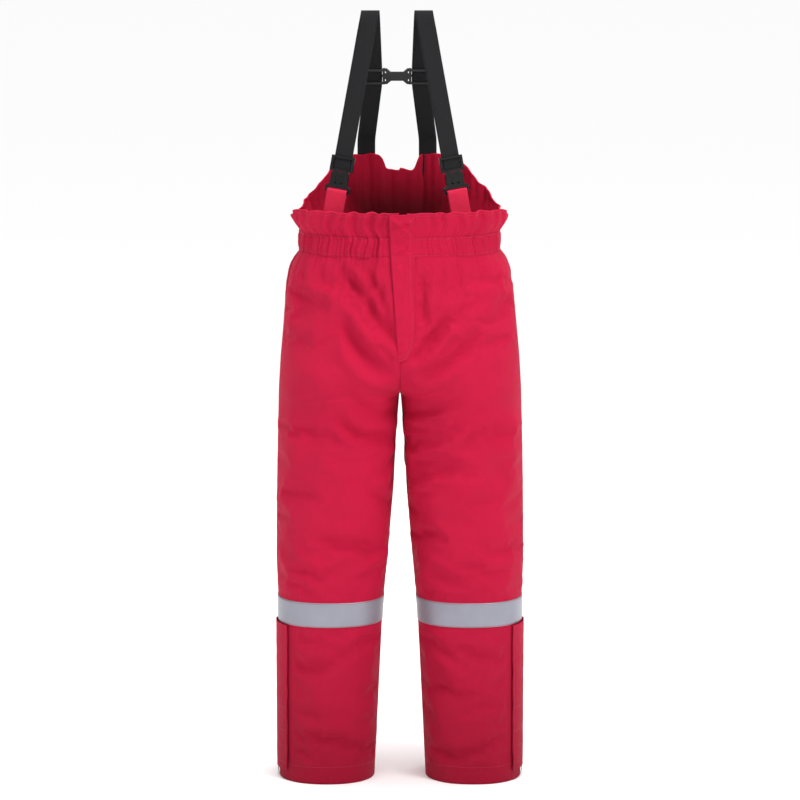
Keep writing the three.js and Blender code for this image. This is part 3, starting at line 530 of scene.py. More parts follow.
@dataclass
class Section:
    """One side's section at some heights, grown outwards by an offset."""

    height: np.ndarray
    offset: float = 0.0

    def __post_init__(self) -> None:
        """Work out the section's centre, half width and depths."""
        z = np.asarray(self.height, float)
        outer = OUTER_EDGE(z)
        inner = np.where(z >= at_rise(0.72), -outer, INNER_EDGE(z))
        half = (outer - inner) / 2
        self.centre = (outer + inner) / 2
        self.half = half + self.offset
        self.front = FULL_FRONT_DEPTH(z) + self.offset
        self.back = BACK_DEPTH(z) + self.offset

    def depth(self, face: Face) -> np.ndarray:
        """Depth of one face."""
        return self.front if face is Face.FRONT else self.back

    def point(self, angle: np.ndarray) -> np.ndarray:
        """Points at section angles: 0 is the side seam and positive angles run round the front."""
        sine = np.sin(angle)
        depth = np.where(sine > 0, self.front, self.back)
        x = self.centre + self.half * soft_power(np.cos(angle))
        z = np.broadcast_to(self.height, x.shape)
        return np.stack([x, -depth * soft_power(sine), z], axis=-1)

    def angle_at_plane(self, x: float) -> np.ndarray:
        """Angle where the section meets the plane x, or the inseam."""
        reach = np.clip((x - self.centre) / self.half, -1.0, 1.0)
        return np.arccos(np.sign(reach) * np.abs(reach) ** (ROUNDNESS / 2))


def angle_at_depth(depth: np.ndarray, y: float) -> np.ndarray:
    """Angle where a section of this depth stands y off the seam line."""
    return np.arcsin((y / depth) ** (ROUNDNESS / 2))


@dataclass
class Grid:
    """A cloth surface as rows and columns of points, in mm."""

    points: np.ndarray

    def normals(self) -> np.ndarray:
        """Unit normals at every point."""
        down = np.gradient(self.points, axis=0)
        along = np.gradient(self.points, axis=1)
        normal = np.cross(along, down)
        return normal / np.maximum(np.linalg.norm(normal, axis=-1, keepdims=True), 1e-9)

    def finer(self, times_rows: int, times_columns: int) -> "Grid":
        """The same surface with more rows and columns, by cubic interpolation."""
        return Grid(cubic(cubic(self.points, times_rows, 0), times_columns, 1))

    def raised(self, height: np.ndarray | float) -> "Grid":
        """Moved along its normals, towards the outside where height is positive."""
        lift = np.asarray(height)
        return Grid(self.points + self.normals() * (lift[..., None] if lift.ndim else lift))

    def joined(self) -> "Grid":
        """The same ring with its first column again at the end, so that it closes."""
        return Grid(np.concatenate([self.points, self.points[:, :1]], axis=1))

    def flat_size(self) -> tuple[float, float, float]:
        """Width and length of the cut and its area, in metres."""
        across = np.linalg.norm(np.diff(self.points, axis=1), axis=-1).sum(1)
        along = np.linalg.norm(np.diff(self.points, axis=0), axis=-1).sum(0)
        a = self.points[1:, 1:] - self.points[:-1, :-1]
        b = self.points[1:, :-1] - self.points[:-1, 1:]
        area = np.linalg.norm(np.cross(a, b), axis=-1).sum() / 2
        return float(across.max() * MM), float(along.max() * MM), float(area * MM * MM)


def cubic(values: np.ndarray, times: int, axis: int) -> np.ndarray:
    """Catmull-Rom interpolation to more samples along one axis."""
    if times == 1:
        return values
    rows = np.moveaxis(values, axis, 0)
    padded = np.concatenate([2 * rows[:1] - rows[1:2], rows, 2 * rows[-1:] - rows[-2:-1]])
    place = np.linspace(0, len(rows) - 1, (len(rows) - 1) * times + 1)
    base = np.minimum(place.astype(int), len(rows) - 2)
    t = (place - base).reshape((-1,) + (1,) * (rows.ndim - 1))
    p0, p1, p2, p3 = (padded[base + i] for i in range(4))
    made = 0.5 * (2 * p1 + (p2 - p0) * t + (2 * p0 - 5 * p1 + 4 * p2 - p3) * t ** 2
                  + (3 * p1 - p0 - 3 * p2 + p3) * t ** 3)
    return np.moveaxis(made, 0, axis)


def in_frame(points: np.ndarray) -> np.ndarray:
    """Millimetres over the hem turned into metres in the model's frame."""
    return np.asarray(points, float) * MM + np.array([0.0, 0.0, HEM_LEVEL])


@dataclass
class Piece:
    """A finished mesh: builds the object, gives it a material and ties it to the frame."""

    name: str
    material: bpy.types.Material
    body: str = "trousers"
    slot: str | None = None
    replaces: tuple[str, ...] = ()

    def tie(self, made: bpy.types.Object) -> bpy.types.Object:
        """Ride on the body and stand for the CAD nodes."""
        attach(made, self.body)
        if self.replaces:
            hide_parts(*self.replaces)
        LOG.info("%s: %d faces", made.name, len(made.data.polygons))
        return made

    def mesh(self, points: np.ndarray, faces: Sequence[Sequence[int]],
             uv: np.ndarray | None = None, smooth: bool = True) -> bpy.types.Object:
        """Object from points in mm and faces.

        Args:
            points: vertices in mm over the hem.
            faces: vertex indices of each face.
            uv: one pair for each vertex, in metres.
            smooth: whether its faces are shaded smooth.

        Returns:
            The object, not yet tied to a body.
        """
        data = bpy.data.meshes.new(self.name)
        data.from_pydata(in_frame(points).tolist(), [], [tuple(f) for f in faces])
        if uv is not None:
            layer = data.uv_layers.new(name="cloth")
            loops = np.zeros(len(data.loops), int)
            data.loops.foreach_get("vertex_index", loops)
            layer.data.foreach_set("uv", np.asarray(uv)[loops].ravel())
        data.polygons.foreach_set("use_smooth", [smooth] * len(data.polygons))
        data.materials.append(self.material)
        made = bpy.data.objects.new(self.name, data)
        bpy.context.scene.collection.objects.link(made)
        return made

    def cloth(self, grid: Grid, thick: float = SHELL,
              inside: bpy.types.Material | None = None) -> bpy.types.Object:
        """Closed cloth of a thickness whose outer face is the grid.

        Args:
            grid: the outer face.
            thick: thickness in mm, inwards.
            inside: material of the inner face, or None for the same one.

        Returns:
            The object, not yet tied to a body.
        """
        outer = grid.points
        rows, columns = outer.shape[:2]
        inner = outer - grid.normals() * thick
        count = rows * columns
        ids = np.arange(count).reshape(rows, columns)
        a, b, c, d = ids[:-1, :-1], ids[:-1, 1:], ids[1:, 1:], ids[1:, :-1]
        front = np.stack([a, d, c, b], -1).reshape(-1, 4)
        back = np.stack([a, b, c, d], -1).reshape(-1, 4) + count
        loop = np.concatenate([ids[0, :-1], ids[:-1, -1], ids[-1, :0:-1], ids[:0:-1, 0]])
        after = np.roll(loop, -1)
        rim = np.stack([loop, after, after + count, loop + count], -1)
        faces = np.concatenate([front, back, rim])
        across = np.concatenate([[0], np.cumsum(np.linalg.norm(np.diff(outer, axis=1), axis=-1).mean(0))])
        along = np.concatenate([[0], np.cumsum(np.linalg.norm(np.diff(outer, axis=0), axis=-1).mean(1))])
        uv = np.stack(np.meshgrid(across, along), -1).reshape(-1, 2) * MM
        made = self.mesh(np.concatenate([outer.reshape(-1, 3), inner.reshape(-1, 3)]), faces,
                         np.concatenate([uv, uv]))
        if inside:
            made.data.materials.append(inside)
            second = np.zeros(len(faces), int)
            second[len(front):len(front) + len(back)] = 1
            made.data.polygons.foreach_set("material_index", second)
        return made


# ---- folds and gathers -----------------------------------------------------------------------------
FOLD_GAIN = 1.35


@dataclass(frozen=True)
class Fold:
    """One fold seen from the front or back: a ridge along a bowed line.

    start and end are (x, z) in mm, bow is how far the middle stands off the straight line, height is
    the ridge's height and width its half width.
    """

    start: tuple[float, float]
    end: tuple[float, float]
    bow: float
    height: float
    width: float

    def at(self, x: np.ndarray, z: np.ndarray) -> np.ndarray:
        """Height of the fold at places seen from the front."""
        a, b = np.array(self.start, float), np.array(self.end, float)
        run = b - a
        length = np.hypot(*run)
        way = run / length
        side = np.array([-way[1], way[0]])
        offset_x, offset_z = x - a[0], z - a[1]
        t = (offset_x * way[0] + offset_z * way[1]) / length
        off = offset_x * side[0] + offset_z * side[1] - self.bow * 4 * t * (1 - t)
        fade = np.clip(np.minimum(t + 0.12, 1.12 - t) / 0.35, 0.0, 1.0)
        fade = fade * fade * (3 - 2 * fade)
        across = off / self.width
        # Steeper on one side than on the other, with a shallow trough beside the ridge.
        ridge = np.exp(-across ** 2) - 0.5 * np.exp(-((across - 1.5) / 1.1) ** 2)
        return FOLD_GAIN * self.height * fade * ridge


def waves(place: np.ndarray, lengths: Sequence[float], seed: int) -> np.ndarray:
    """Smooth unrepeating wave along a line, about -1 to 1.

    Args:
        place: positions in mm.
        lengths: wavelengths that are mixed.
        seed: fixes the phases.

    Returns:
        The wave's value at each position.
    """
    random = np.random.default_rng(seed)
    total = np.zeros_like(place, float)
    for length in lengths:
        total += np.sin(2 * math.pi * place / length + random.uniform(0, 2 * math.pi))
    return total / math.sqrt(len(lengths))


class Gathers:
    """Pleats drawn in by the waist elastic, along the waist and fading below and above it."""

    fine = (8.3, 9.7, 11.9, 14.6)
    coarse = (23.0, 31.0, 44.0, 57.0)

    def height(self, along: np.ndarray, z: np.ndarray, flat: np.ndarray) -> np.ndarray:
        """Height of the pleats.

        Args:
            along: distance round the waist in mm.
            z: height over the hem.
            flat: 1 where the cloth is gathered and 0 where it is kept flat.

        Returns:
            Height of the cloth over its plain surface, in mm.
        """
        drift = along + 2.6 * waves(z, (47.0, 71.0), 3) + 1.6 * waves(along + z, (90.0, 130.0), 4)
        pleat = waves(drift, self.fine, 5)
        pleat = np.sign(pleat) * np.abs(pleat) ** 0.8
        swell = waves(drift, self.coarse, 6)
        below = np.clip((WAIST - z) / 70.0, 0.0, 1.0)
        above = np.clip((z - CASING_TOP) / 45.0, 0.0, 1.0)
        inside = np.clip((z - WAIST) / (CASING_TOP - WAIST), 0.0, 1.0)
        channel = np.sin(math.pi * inside) ** 0.6
        near = np.where(z < WAIST, (1 - below) ** 1.6, np.where(z > CASING_TOP, (1 - above) * 0.8, 1.0))
        reach = np.where(z < WAIST, np.exp(-((z - WAIST) / 150.0) ** 2), 1.0)
        fine = 1.35 * near * (0.75 + 0.55 * channel)
        coarse = np.where(z < WAIST, 3.0 * below ** 0.7 * np.exp(-((WAIST - z) / 105.0) ** 2),
                          np.where(z > CASING_TOP, 1.0 + 3.0 * above, 1.0))
        return flat * (fine * pleat + coarse * swell * reach) + 2.6 * channel * flat


GATHERS = Gathers()


# ---- legs ------------------------------------------------------------------------------------------
FOLDS_FRONT = (
    # Hip and waist, wearer's right.
    Fold((-126, 1066), (-24, 908), 6, -6.5, 13), Fold((-150, 1010), (-36, 880), 8, 4.0, 20),
    Fold((-62, 1050), (-13, 903), 5, -5.0, 10), Fold((-117, 950), (-8, 842), -13, -7.5, 17),
    Fold((-46, 906), (-8, 860), 2, -4.5, 8), Fold((-158, 1066), (-157, 940), 0, -3.6, 13),
    Fold((-190, 1040), (-196, 860), 0, -2.4, 15), Fold((-95, 1060), (-70, 960), 4, 2.6, 9),
    Fold((-206, 900), (-120, 780), -10, 2.8, 26), Fold((-120, 905), (-14, 815), -20, 4.5, 15),
    # Hip and waist, wearer's left.
    Fold((46, 1040), (44, 930), 0, -4.0, 10), Fold((92, 955), (26, 868), 4, -8.0, 12),
    Fold((150, 965), (52, 862), 5, 4.0, 22), Fold((70, 1050), (62, 950), -4, 3.0, 11),
    Fold((150, 905), (24, 838), 12, -4.5, 15), Fold((122, 870), (16, 812), 14, 4.0, 12),
    Fold((205, 1010), (190, 880), 0, -2.4, 18), Fold((118, 1066), (104, 985), 0, -2.4, 10),
    # Thigh arcs, wearer's right.
    Fold((-128, 728), (-14, 692), -14, 4.6, 9), Fold((-130, 762), (-14, 712), -18, -6.0, 15),
    Fold((-60, 668), (-10, 684), -4, 3.2, 8), Fold((-118, 636), (-14, 560), 10, -3.2, 13),
    Fold((-170, 700), (-90, 610), -8, 2.8, 20), Fold((-66, 610), (-14, 636), -4, 2.6, 9),
    Fold((-190, 760), (-186, 600), 4, -2.6, 20), Fold((-96, 800), (-10, 765), -12, -4.0, 12),
    # Thigh arcs, wearer's left.
    Fold((100, 772), (14, 742), 6, 4.2, 9), Fold((132, 800), (14, 760), 10, -4.4, 12),
    Fold((94, 700), (16, 668), 5, 4.0, 9), Fold((128, 742), (18, 700), 8, -4.2, 14),
    Fold((82, 634), (24, 600), 3, 3.2, 9), Fold((120, 665), (24, 628), 6, -3.4, 12),
    Fold((176, 700), (100, 560), 10, 2.6, 22), Fold((198, 760), (196, 590), 0, -2.4, 18),
    # Knees and shins.
    Fold((56, 470), (104, 456), -6, 3.2, 9), Fold((40, 520), (96, 500), 6, -3.0, 12),
    Fold((150, 470), (214, 452), -6, 2.4, 14), Fold((-200, 470), (-130, 452), -8, 3.0, 12),
    Fold((-150, 500), (-44, 470), 8, -3.0, 14), Fold((-100, 436), (-36, 466), -6, 3.2, 10),
    Fold((-226, 424), (-160, 404), 6, 2.6, 11), Fold((60, 414), (140, 400), -6, 2.4, 12),
    Fold((-226, 286), (-150, 276), -6, 3.2, 9), Fold((-222, 248), (-130, 252), -5, -3.2, 11),
    Fold((-110, 300), (-46, 312), 6, 2.4, 12), Fold((-216, 130), (-80, 136), -12, 2.6, 12),
    Fold((-220, 95), (-70, 70), 10, -2.4, 15), Fold((72, 262), (138, 222), -5, 3.4, 11),
    Fold((70, 210), (150, 180), -6, -3.0, 13), Fold((120, 290), (216, 270), 6, 2.6, 13),
    Fold((110, 120), (214, 142), 8, 2.4, 13), Fold((78, 60), (190, 86), -8, -2.2, 14),
)
FOLDS_BACK = (
    Fold((-170, 980), (-30, 850), -20, -6.0, 20), Fold((170, 985), (34, 845), -18, -6.0, 20),
    Fold((-120, 930), (-12, 830), -12, 4.5, 15), Fold((124, 925), (14, 828), -12, 4.5, 15),
    Fold((-150, 770), (-14, 735), -14, 4.5, 12), Fold((150, 775), (14, 730), -14, 4.5, 12),
    Fold((-160, 700), (-20, 660), -12, -4.5, 15), Fold((164, 705), (22, 655), -12, -4.5, 15),
    Fold((-200, 470), (-60, 440), -14, 5.0, 13), Fold((200, 480), (60, 445), -14, 5.0, 13),
    Fold((-180, 430), (-60, 410), -8, -4.5, 14), Fold((190, 430), (64, 404), -8, -4.5, 14),
    Fold((-200, 560), (-50, 520), -10, 3.6, 18), Fold((200, 565), (48, 515), -10, 3.6, 18),
    Fold((-200, 260), (-80, 236), -10, 3.2, 14), Fold((200, 250), (80, 230), -10, 3.2, 14),
    Fold((-190, 140), (-80, 150), 10, -3.0, 16), Fold((196, 130), (84, 150), 10, -3.0, 16),
)


FOLDS_FLY = (
    Fold((-20, 1158), (26, 1112), 3, 1.9, 5), Fold((28, 1152), (0, 1108), -3, 1.7, 5),
    Fold((-18, 1130), (28, 1140), 4, -1.6, 5), Fold((-16, 1100), (26, 1076), 3, 1.7, 5),
    Fold((-14, 1078), (24, 1100), -3, -1.6, 5), Fold((-12, 1060), (20, 1030), 3, 1.4, 7),
    Fold((-16, 1020), (18, 985), 3, 1.0, 9), Fold((-12, 960), (20, 930), 3, -0.9, 9),
)


def smoothstep(value: np.ndarray, low: float, high: float) -> np.ndarray:
    """0 below low, 1 above high and smooth between."""
    t = np.clip((value - low) / (high - low), 0.0, 1.0)
    return t * t * (3 - 2 * t)


@dataclass
class LegShape:
    """Surface of the legs: the plain section, its folds and how the padding settles."""

    columns: int = 34
    finer_rows: int = 3
    finer_columns: int = 3
    frames: int = 22
    growth: float = 0.02
    most: float = 7.0
    grids: dict[tuple[Side, Face], Grid] = field(default_factory=dict)

    def __post_init__(self) -> None:
        """Fix the heights of the rows."""
        self.rows = np.concatenate([
            np.linspace(0.0, 756.0, 58), np.linspace(763.0, 784.0, 4), np.linspace(787.0, 868.0, 31),
            np.linspace(876.0, WAIST - 0.2, 26)])

    @staticmethod
    def centre_plane(side: Side, face: Face, z: float) -> float:
        """Distance of the panel's inner edge from the middle."""
        if face is Face.BACK:
            return 0.15
        wide = 14.0 if side is Side.LEFT else 2.0
        return float(np.interp(z, [FLY_FOOT + 8, FLY_FOOT + 16], [0.15, wide]))

    @classmethod
    def row(cls, z: float, side: Side, face: Face, count: int, offset: float = 0.0,
            plane: float | None = None) -> np.ndarray:
        """Evenly spaced points of one row, from the side seam inwards, on the wearer's left.

        Args:
            z: height over the hem.
            side: side of the garment, which sets the fly's edge.
            face: front or back.
            count: number of points.
            offset: distance outside the plain surface.
            plane: distance of the inner edge from the middle, or None for the panel's own.

        Returns:
            Points in mm, with x still counted outwards.
        """
        section = Section(np.array([z]), offset)
        edge = cls.centre_plane(side, face, z) if plane is None else plane
        start = SLIT_HALF if z < SLIT_TOP + 0.5 else 0.05
        first = float(angle_at_depth(section.depth(face)[0], start))
        last = float(section.angle_at_plane(edge)[0])
        angles = np.linspace(first, last, 160) * face.value
        dense = section.point(angles)
        run = np.concatenate([[0.0], np.cumsum(np.linalg.norm(np.diff(dense, axis=0), axis=1))])
        places = np.linspace(0.0, run[-1], count)
        return np.stack([np.interp(places, run, dense[:, i]) for i in range(3)], -1)

    def plain(self, side: Side, face: Face) -> Grid:
        """Panel without folds, with its normals outwards."""
        points = np.stack([self.row(z, side, face, self.columns) for z in self.rows])
        points[..., 0] *= side.value
        outward_first = (side is Side.LEFT) == (face is Face.BACK)
        return Grid(points if outward_first else points[:, ::-1])

    @staticmethod
    def folds(points: np.ndarray, face: Face, held: bool = True) -> np.ndarray:
        """Height of the listed folds, and of small soft dents, at some points.

        Args:
            points: points of the surface.
            face: front or back.
            held: whether seams, bands and hems hold the cloth flat.

        Returns:
            Height in mm.
        """
        x, z = points[..., 0], points[..., 2]
        total = np.zeros_like(x)
        for fold in FOLDS_FRONT if face is Face.FRONT else FOLDS_BACK:
            total += fold.at(x, z)
        dents = waves(x * 0.8 + z, (83.0, 117.0, 171.0), 11) * waves(z - x * 0.6, (97.0, 141.0, 203.0), 12)
        total += 1.4 * dents * smoothstep(z, 20.0, 90.0)
        if not held:
            return total
        seam = smoothstep(np.abs(points[..., 1]), 4.0, 46.0)
        flap = 1 - 0.9 * smoothstep(np.abs(x), 196.0, 220.0) * (1 - smoothstep(z, FLAP_TOP, FLAP_TOP + 34))
        band = 1 - 0.85 * (smoothstep(z, BAND_FOOT - 22, BAND_FOOT - 3)
                           * (1 - smoothstep(z, BAND_FOOT + BAND_WIDTH + 3, BAND_FOOT + BAND_WIDTH + 22)))
        hem = 0.35 + 0.65 * smoothstep(z, 8.0, 50.0)
        middle = 1 - (1 - smoothstep(np.abs(x), 2.0, 16.0)) * (z > INSEAM - 20) * 0.9
        return total * seam * flap * band * hem * middle

    @staticmethod
    def gathered(points: np.ndarray, share: np.ndarray, side: Side, face: Face) -> np.ndarray:
        """Height of the waist gathers.

        Args:
            points: points of the surface.
            share: place across the panel, 0 at the side seam and 1 at the middle.
            side: side of the garment.
            face: front or back.

        Returns:
            Height in mm.
        """
        x, z = points[..., 0], points[..., 2]
        along = share * 292.0 * face.value + 640.0 * (side is Side.LEFT)
        flat = np.ones_like(x)
        if face is Face.FRONT:
            flat = 1 - smoothstep(x, -34.0, -24.0) * (1 - smoothstep(x, 27.0, 44.0))
            strength = np.where(x < 0, 0.72 + 0.7 * smoothstep(x, -190.0, -40.0), 0.62)
        else:
            strength = 1.05
        return GATHERS.height(along, z, flat) * strength

    def settle(self, side: Side, front: Grid, back: Grid) -> tuple[np.ndarray, np.ndarray]:
        """Let the padded cloth of one leg grow slightly and buckle, held where it is sewn.

        Args:
            side: side of the garment.
            front: front panel with its folds.
            back: back panel with its folds.

        Returns:
            How far each point of the two panels moved, in mm.
        """
        count = front.points.shape[0] * front.points.shape[1]
        points = np.concatenate([front.points.reshape(-1, 3), back.points.reshape(-1, 3)]) * MM
        shape = front.points.shape[:2]
        ids = np.arange(count).reshape(shape)
        quads = np.stack([ids[:-1, :-1], ids[:-1, 1:], ids[1:, 1:], ids[1:, :-1]], -1).reshape(-1, 4)
        data = bpy.data.meshes.new("settle")
        data.from_pydata(points.tolist(), [], np.concatenate([quads, quads + count]).tolist())
        cloth = bpy.data.objects.new("settle", data)
        bpy.context.scene.collection.objects.link(cloth)
        x, y, z = np.abs(points[:, 0]) / MM, np.abs(points[:, 1]) / MM, points[:, 2] / MM
        free = smoothstep(z, 12.0, 70.0) * (1 - smoothstep(z, WAIST - 70.0, WAIST - 12.0))
        free *= 1 - (smoothstep(z, BAND_FOOT - 26, BAND_FOOT - 4)
                     * (1 - smoothstep(z, BAND_FOOT + BAND_WIDTH + 4, BAND_FOOT + BAND_WIDTH + 26)))
        free *= np.where(z > INSEAM - 40, smoothstep(x, 24.0, 60.0), 1.0)
        crotch = smoothstep(z, INSEAM - 90, INSEAM - 30) * (1 - smoothstep(z, FLY_FOOT + 10, FLY_FOOT + 60))
        free *= 1 - crotch
        free *= smoothstep(y, 6.0, 44.0)
        free *= 1 - smoothstep(x, 192.0, 218.0) * (1 - smoothstep(z, FLAP_TOP, FLAP_TOP + 40))
        pins = cloth.vertex_groups.new(name="sewn")
        grows = cloth.vertex_groups.new(name="grows")
        for i, amount in enumerate(free):
            pins.add([i], float(1 - amount) ** 3, "REPLACE")
            grows.add([i], float(amount), "REPLACE")
        settings = cloth.modifiers.new("cloth", "CLOTH").settings
        settings.vertex_group_mass = "sewn"
        settings.pin_stiffness = 4.0
        settings.quality = 6
        settings.mass = 0.35
        settings.air_damping = 4.0
        settings.tension_stiffness = settings.compression_stiffness = 24.0
        settings.shear_stiffness = 12.0
        settings.bending_stiffness = 1.6
        settings.shrink_min = -self.growth
        settings.shrink_max = -self.growth
        settings.vertex_group_shrink = "grows"
        settings.effector_weights.gravity = 0.0
        settings.use_pressure = True
        settings.uniform_pressure_force = 1.2
        cache = cloth.modifiers["cloth"].point_cache
        cache.frame_start, cache.frame_end = 1, self.frames
        for step in range(1, self.frames + 1):
            bpy.context.scene.frame_set(step)
        evaluated = cloth.evaluated_get(bpy.context.evaluated_depsgraph_get())
        rested = np.empty(len(points) * 3)
        evaluated.data.vertices.foreach_get("co", rested)
        bpy.data.objects.remove(cloth)
        bpy.context.scene.frame_set(1)
        moved = (rested.reshape(-1, 3) - points) / MM
        moved[~np.isfinite(moved)] = 0.0
        size = np.linalg.norm(moved, axis=1, keepdims=True)
        moved *= self.most * np.tanh(size / self.most) / np.maximum(size, 1e-6)
        moved *= smoothstep(free, 0.0, 0.4)[:, None]
        LOG.info("%s leg settled: mean %.2f mm, most %.2f mm", side.word, size.mean(), size.max())
        return moved[:count].reshape(*shape, 3), moved[count:].reshape(*shape, 3)

    def shares(self, side: Side, face: Face, columns: int) -> np.ndarray:
        """Place of each column between the side seam and the middle."""
        share = np.linspace(0.0, 1.0, columns)[None, :]
        outward_first = (side is Side.LEFT) == (face is Face.BACK)
        return share if outward_first else share[:, ::-1]

    def make(self) -> None:
        """Work out the four finished panels."""
        for side in Side:
            base = {face: self.plain(side, face) for face in Face}
            folded = {face: grid.raised(self.folds(grid.points, face)) for face, grid in base.items()}
            moves = dict(zip((Face.FRONT, Face.BACK), self.settle(side, folded[Face.FRONT],
                                                                   folded[Face.BACK])))
            folded = {face: Grid(grid.points + moves[face]) for face, grid in folded.items()}
            for face, grid in folded.items():
                fine = grid.finer(self.finer_rows, self.finer_columns)
                share = self.shares(side, face, fine.points.shape[1])
                lift = self.gathered(fine.points, share, side, face)
                lift = lift * smoothstep(WAIST - fine.points[..., 2], -4.0, 6.0)
                lift -= 1.3 * np.exp(-(fine.points[..., 1] / 2.2) ** 2) * (fine.points[..., 2] > SLIT_TOP)
                if face is Face.FRONT and side is Side.LEFT:
                    lift -= 1.3 * self.seam_groove(fine.points)
                self.grids[side, face] = self.closed(fine.raised(lift), side, face)

    @staticmethod
    def seam_groove(points: np.ndarray) -> np.ndarray:
        """1 along the J-shaped seam beside the fly flap."""
        x, z = points[..., 0], points[..., 2]
        above = smoothstep(z, Waist.stitch_foot(np.full(1, FLY_LEFT))[0] - 10, FLY_FOOT + 60)
        down = np.exp(-((x - FLY_LEFT - 2.6) / 1.9) ** 2) * above
        foot = Waist.stitch_foot(x) - 4.5
        inside = (x > FLY_RIGHT_FOOT) & (x < FLY_LEFT + 2.6)
        return np.maximum(down, np.exp(-((z - foot) / 2.0) ** 2) * inside)

    @staticmethod
    def closed(grid: Grid, side: Side, face: Face) -> Grid:
        """Bring the inner edge of a panel to the middle where it is sewn to its neighbour."""
        inner = -1 if (side is Side.LEFT) != (face is Face.FRONT) else 0
        points = grid.points.copy()
        height = points[:, inner, 2]
        sewn = height > INSEAM + 2
        if face is Face.FRONT:
            sewn &= height < FLY_FOOT + 8
        shift = np.where(sewn, -points[:, inner, 0] - 0.15 * side.value, 0.0)
        for step in range(5):
            column = inner + step if inner == 0 else inner - step
            points[:, column, 0] += shift * (1 - step / 5)
        return Grid(points)


@dataclass
class Legs:
    """The four outer panels with their linings, hem facings and reflective bands."""

    finishes: Finishes
    shape: LegShape
    lining_thick: float = 3.0
    lining_gap: float = 0.4
    band_lift: float = 0.9
    facing_width: float = 0.0118

    def build(self) -> None:
        """Build and dress every piece."""
        for (side, face), grid in self.shape.grids.items():
            self.panel(side, face, grid)
            self.lining(side, face, grid)
        for side in Side:
            self.band(side)
            self.facing(side)

    def panel(self, side: Side, face: Face, grid: Grid) -> None:
        """One outer panel."""
        node = f"{side.word}_leg_{face.word}_panel"
        made = Piece(f"{node}_cloth", self.finishes.twill, slot="shell_fabric", replaces=(node,))
        thing = made.tie(made.cloth(grid))
        wide, long, area = grid.flat_size()

    def lining(self, side: Side, face: Face, grid: Grid) -> None:
        """One quilted lining panel behind the outer one."""
        node = f"{side.word}_leg_{face.word}_lining"
        coarse = Grid(grid.points[::2, ::2])
        low = int(np.argmin(np.abs(coarse.points[:, 0, 2] - 13.0)))
        quilt = coarse.raised(-SHELL - self.lining_gap - 0.4)
        inner = Grid(quilt.points[low:])
        made = Piece(f"{node}_quilt", self.finishes.lining, slot="lining_fabric", replaces=(node,))
        thing = made.tie(made.cloth(inner, self.lining_thick))

    def ring(self, side: Side, low: float, high: float, rows: int) -> Grid:
        """Rows round one closed leg, from the front inseam round the side to the back inseam."""
        front = self.shape.grids[side, Face.FRONT].points
        back = self.shape.grids[side, Face.BACK].points
        first, second = (front, back) if side is Side.LEFT else (back, front)
        whole = np.concatenate([first, second[:, 1:]], axis=1)
        heights = whole[..., 2].mean(1)
        order = np.linspace(low, high, rows)
        at = np.interp(order, heights, np.arange(len(heights)))
        base = np.minimum(at.astype(int), len(heights) - 2)
        part = (at - base)[:, None, None]
        return Grid(whole[base] * (1 - part) + whole[base + 1] * part)

    def band(self, side: Side) -> None:
        """Reflective band round one shin."""
        ring = self.ring(side, BAND_FOOT, BAND_FOOT + BAND_WIDTH, 15)
        edge = np.abs(np.linspace(-1, 1, 15)) ** 6
        lift = self.band_lift + 0.45 * (1 - edge)[:, None] * np.ones(ring.points.shape[1])
        lifted = ring.joined().raised(np.concatenate([lift, lift[:, :1]], axis=1))
        lifted.points[:, -1] = lifted.points[:, 0]
        node = f"{side.word}_reflective_band"
        made = Piece(f"{node}_tape", self.finishes.tape, slot="reflective_tape", replaces=(node,))
        thing = made.tie(made.cloth(lifted, 0.7))
        wide = lifted.flat_size()[0]

    def facing(self, side: Side) -> None:
        """Turned hem inside one leg mouth."""
        ring = self.ring(side, 0.4, 12.0, 5)
        node = f"{side.word}_hem_facing"
        # The hem facing takes the inside twill, painted dark in the middle as shade.
        made = Piece(f"{node}_cloth", self.finishes.inside, slot="shell_fabric", replaces=(node,))
        thing = made.tie(made.cloth(ring.raised(-SHELL - 0.3), 1.4))
        ring.flat_size()[0]


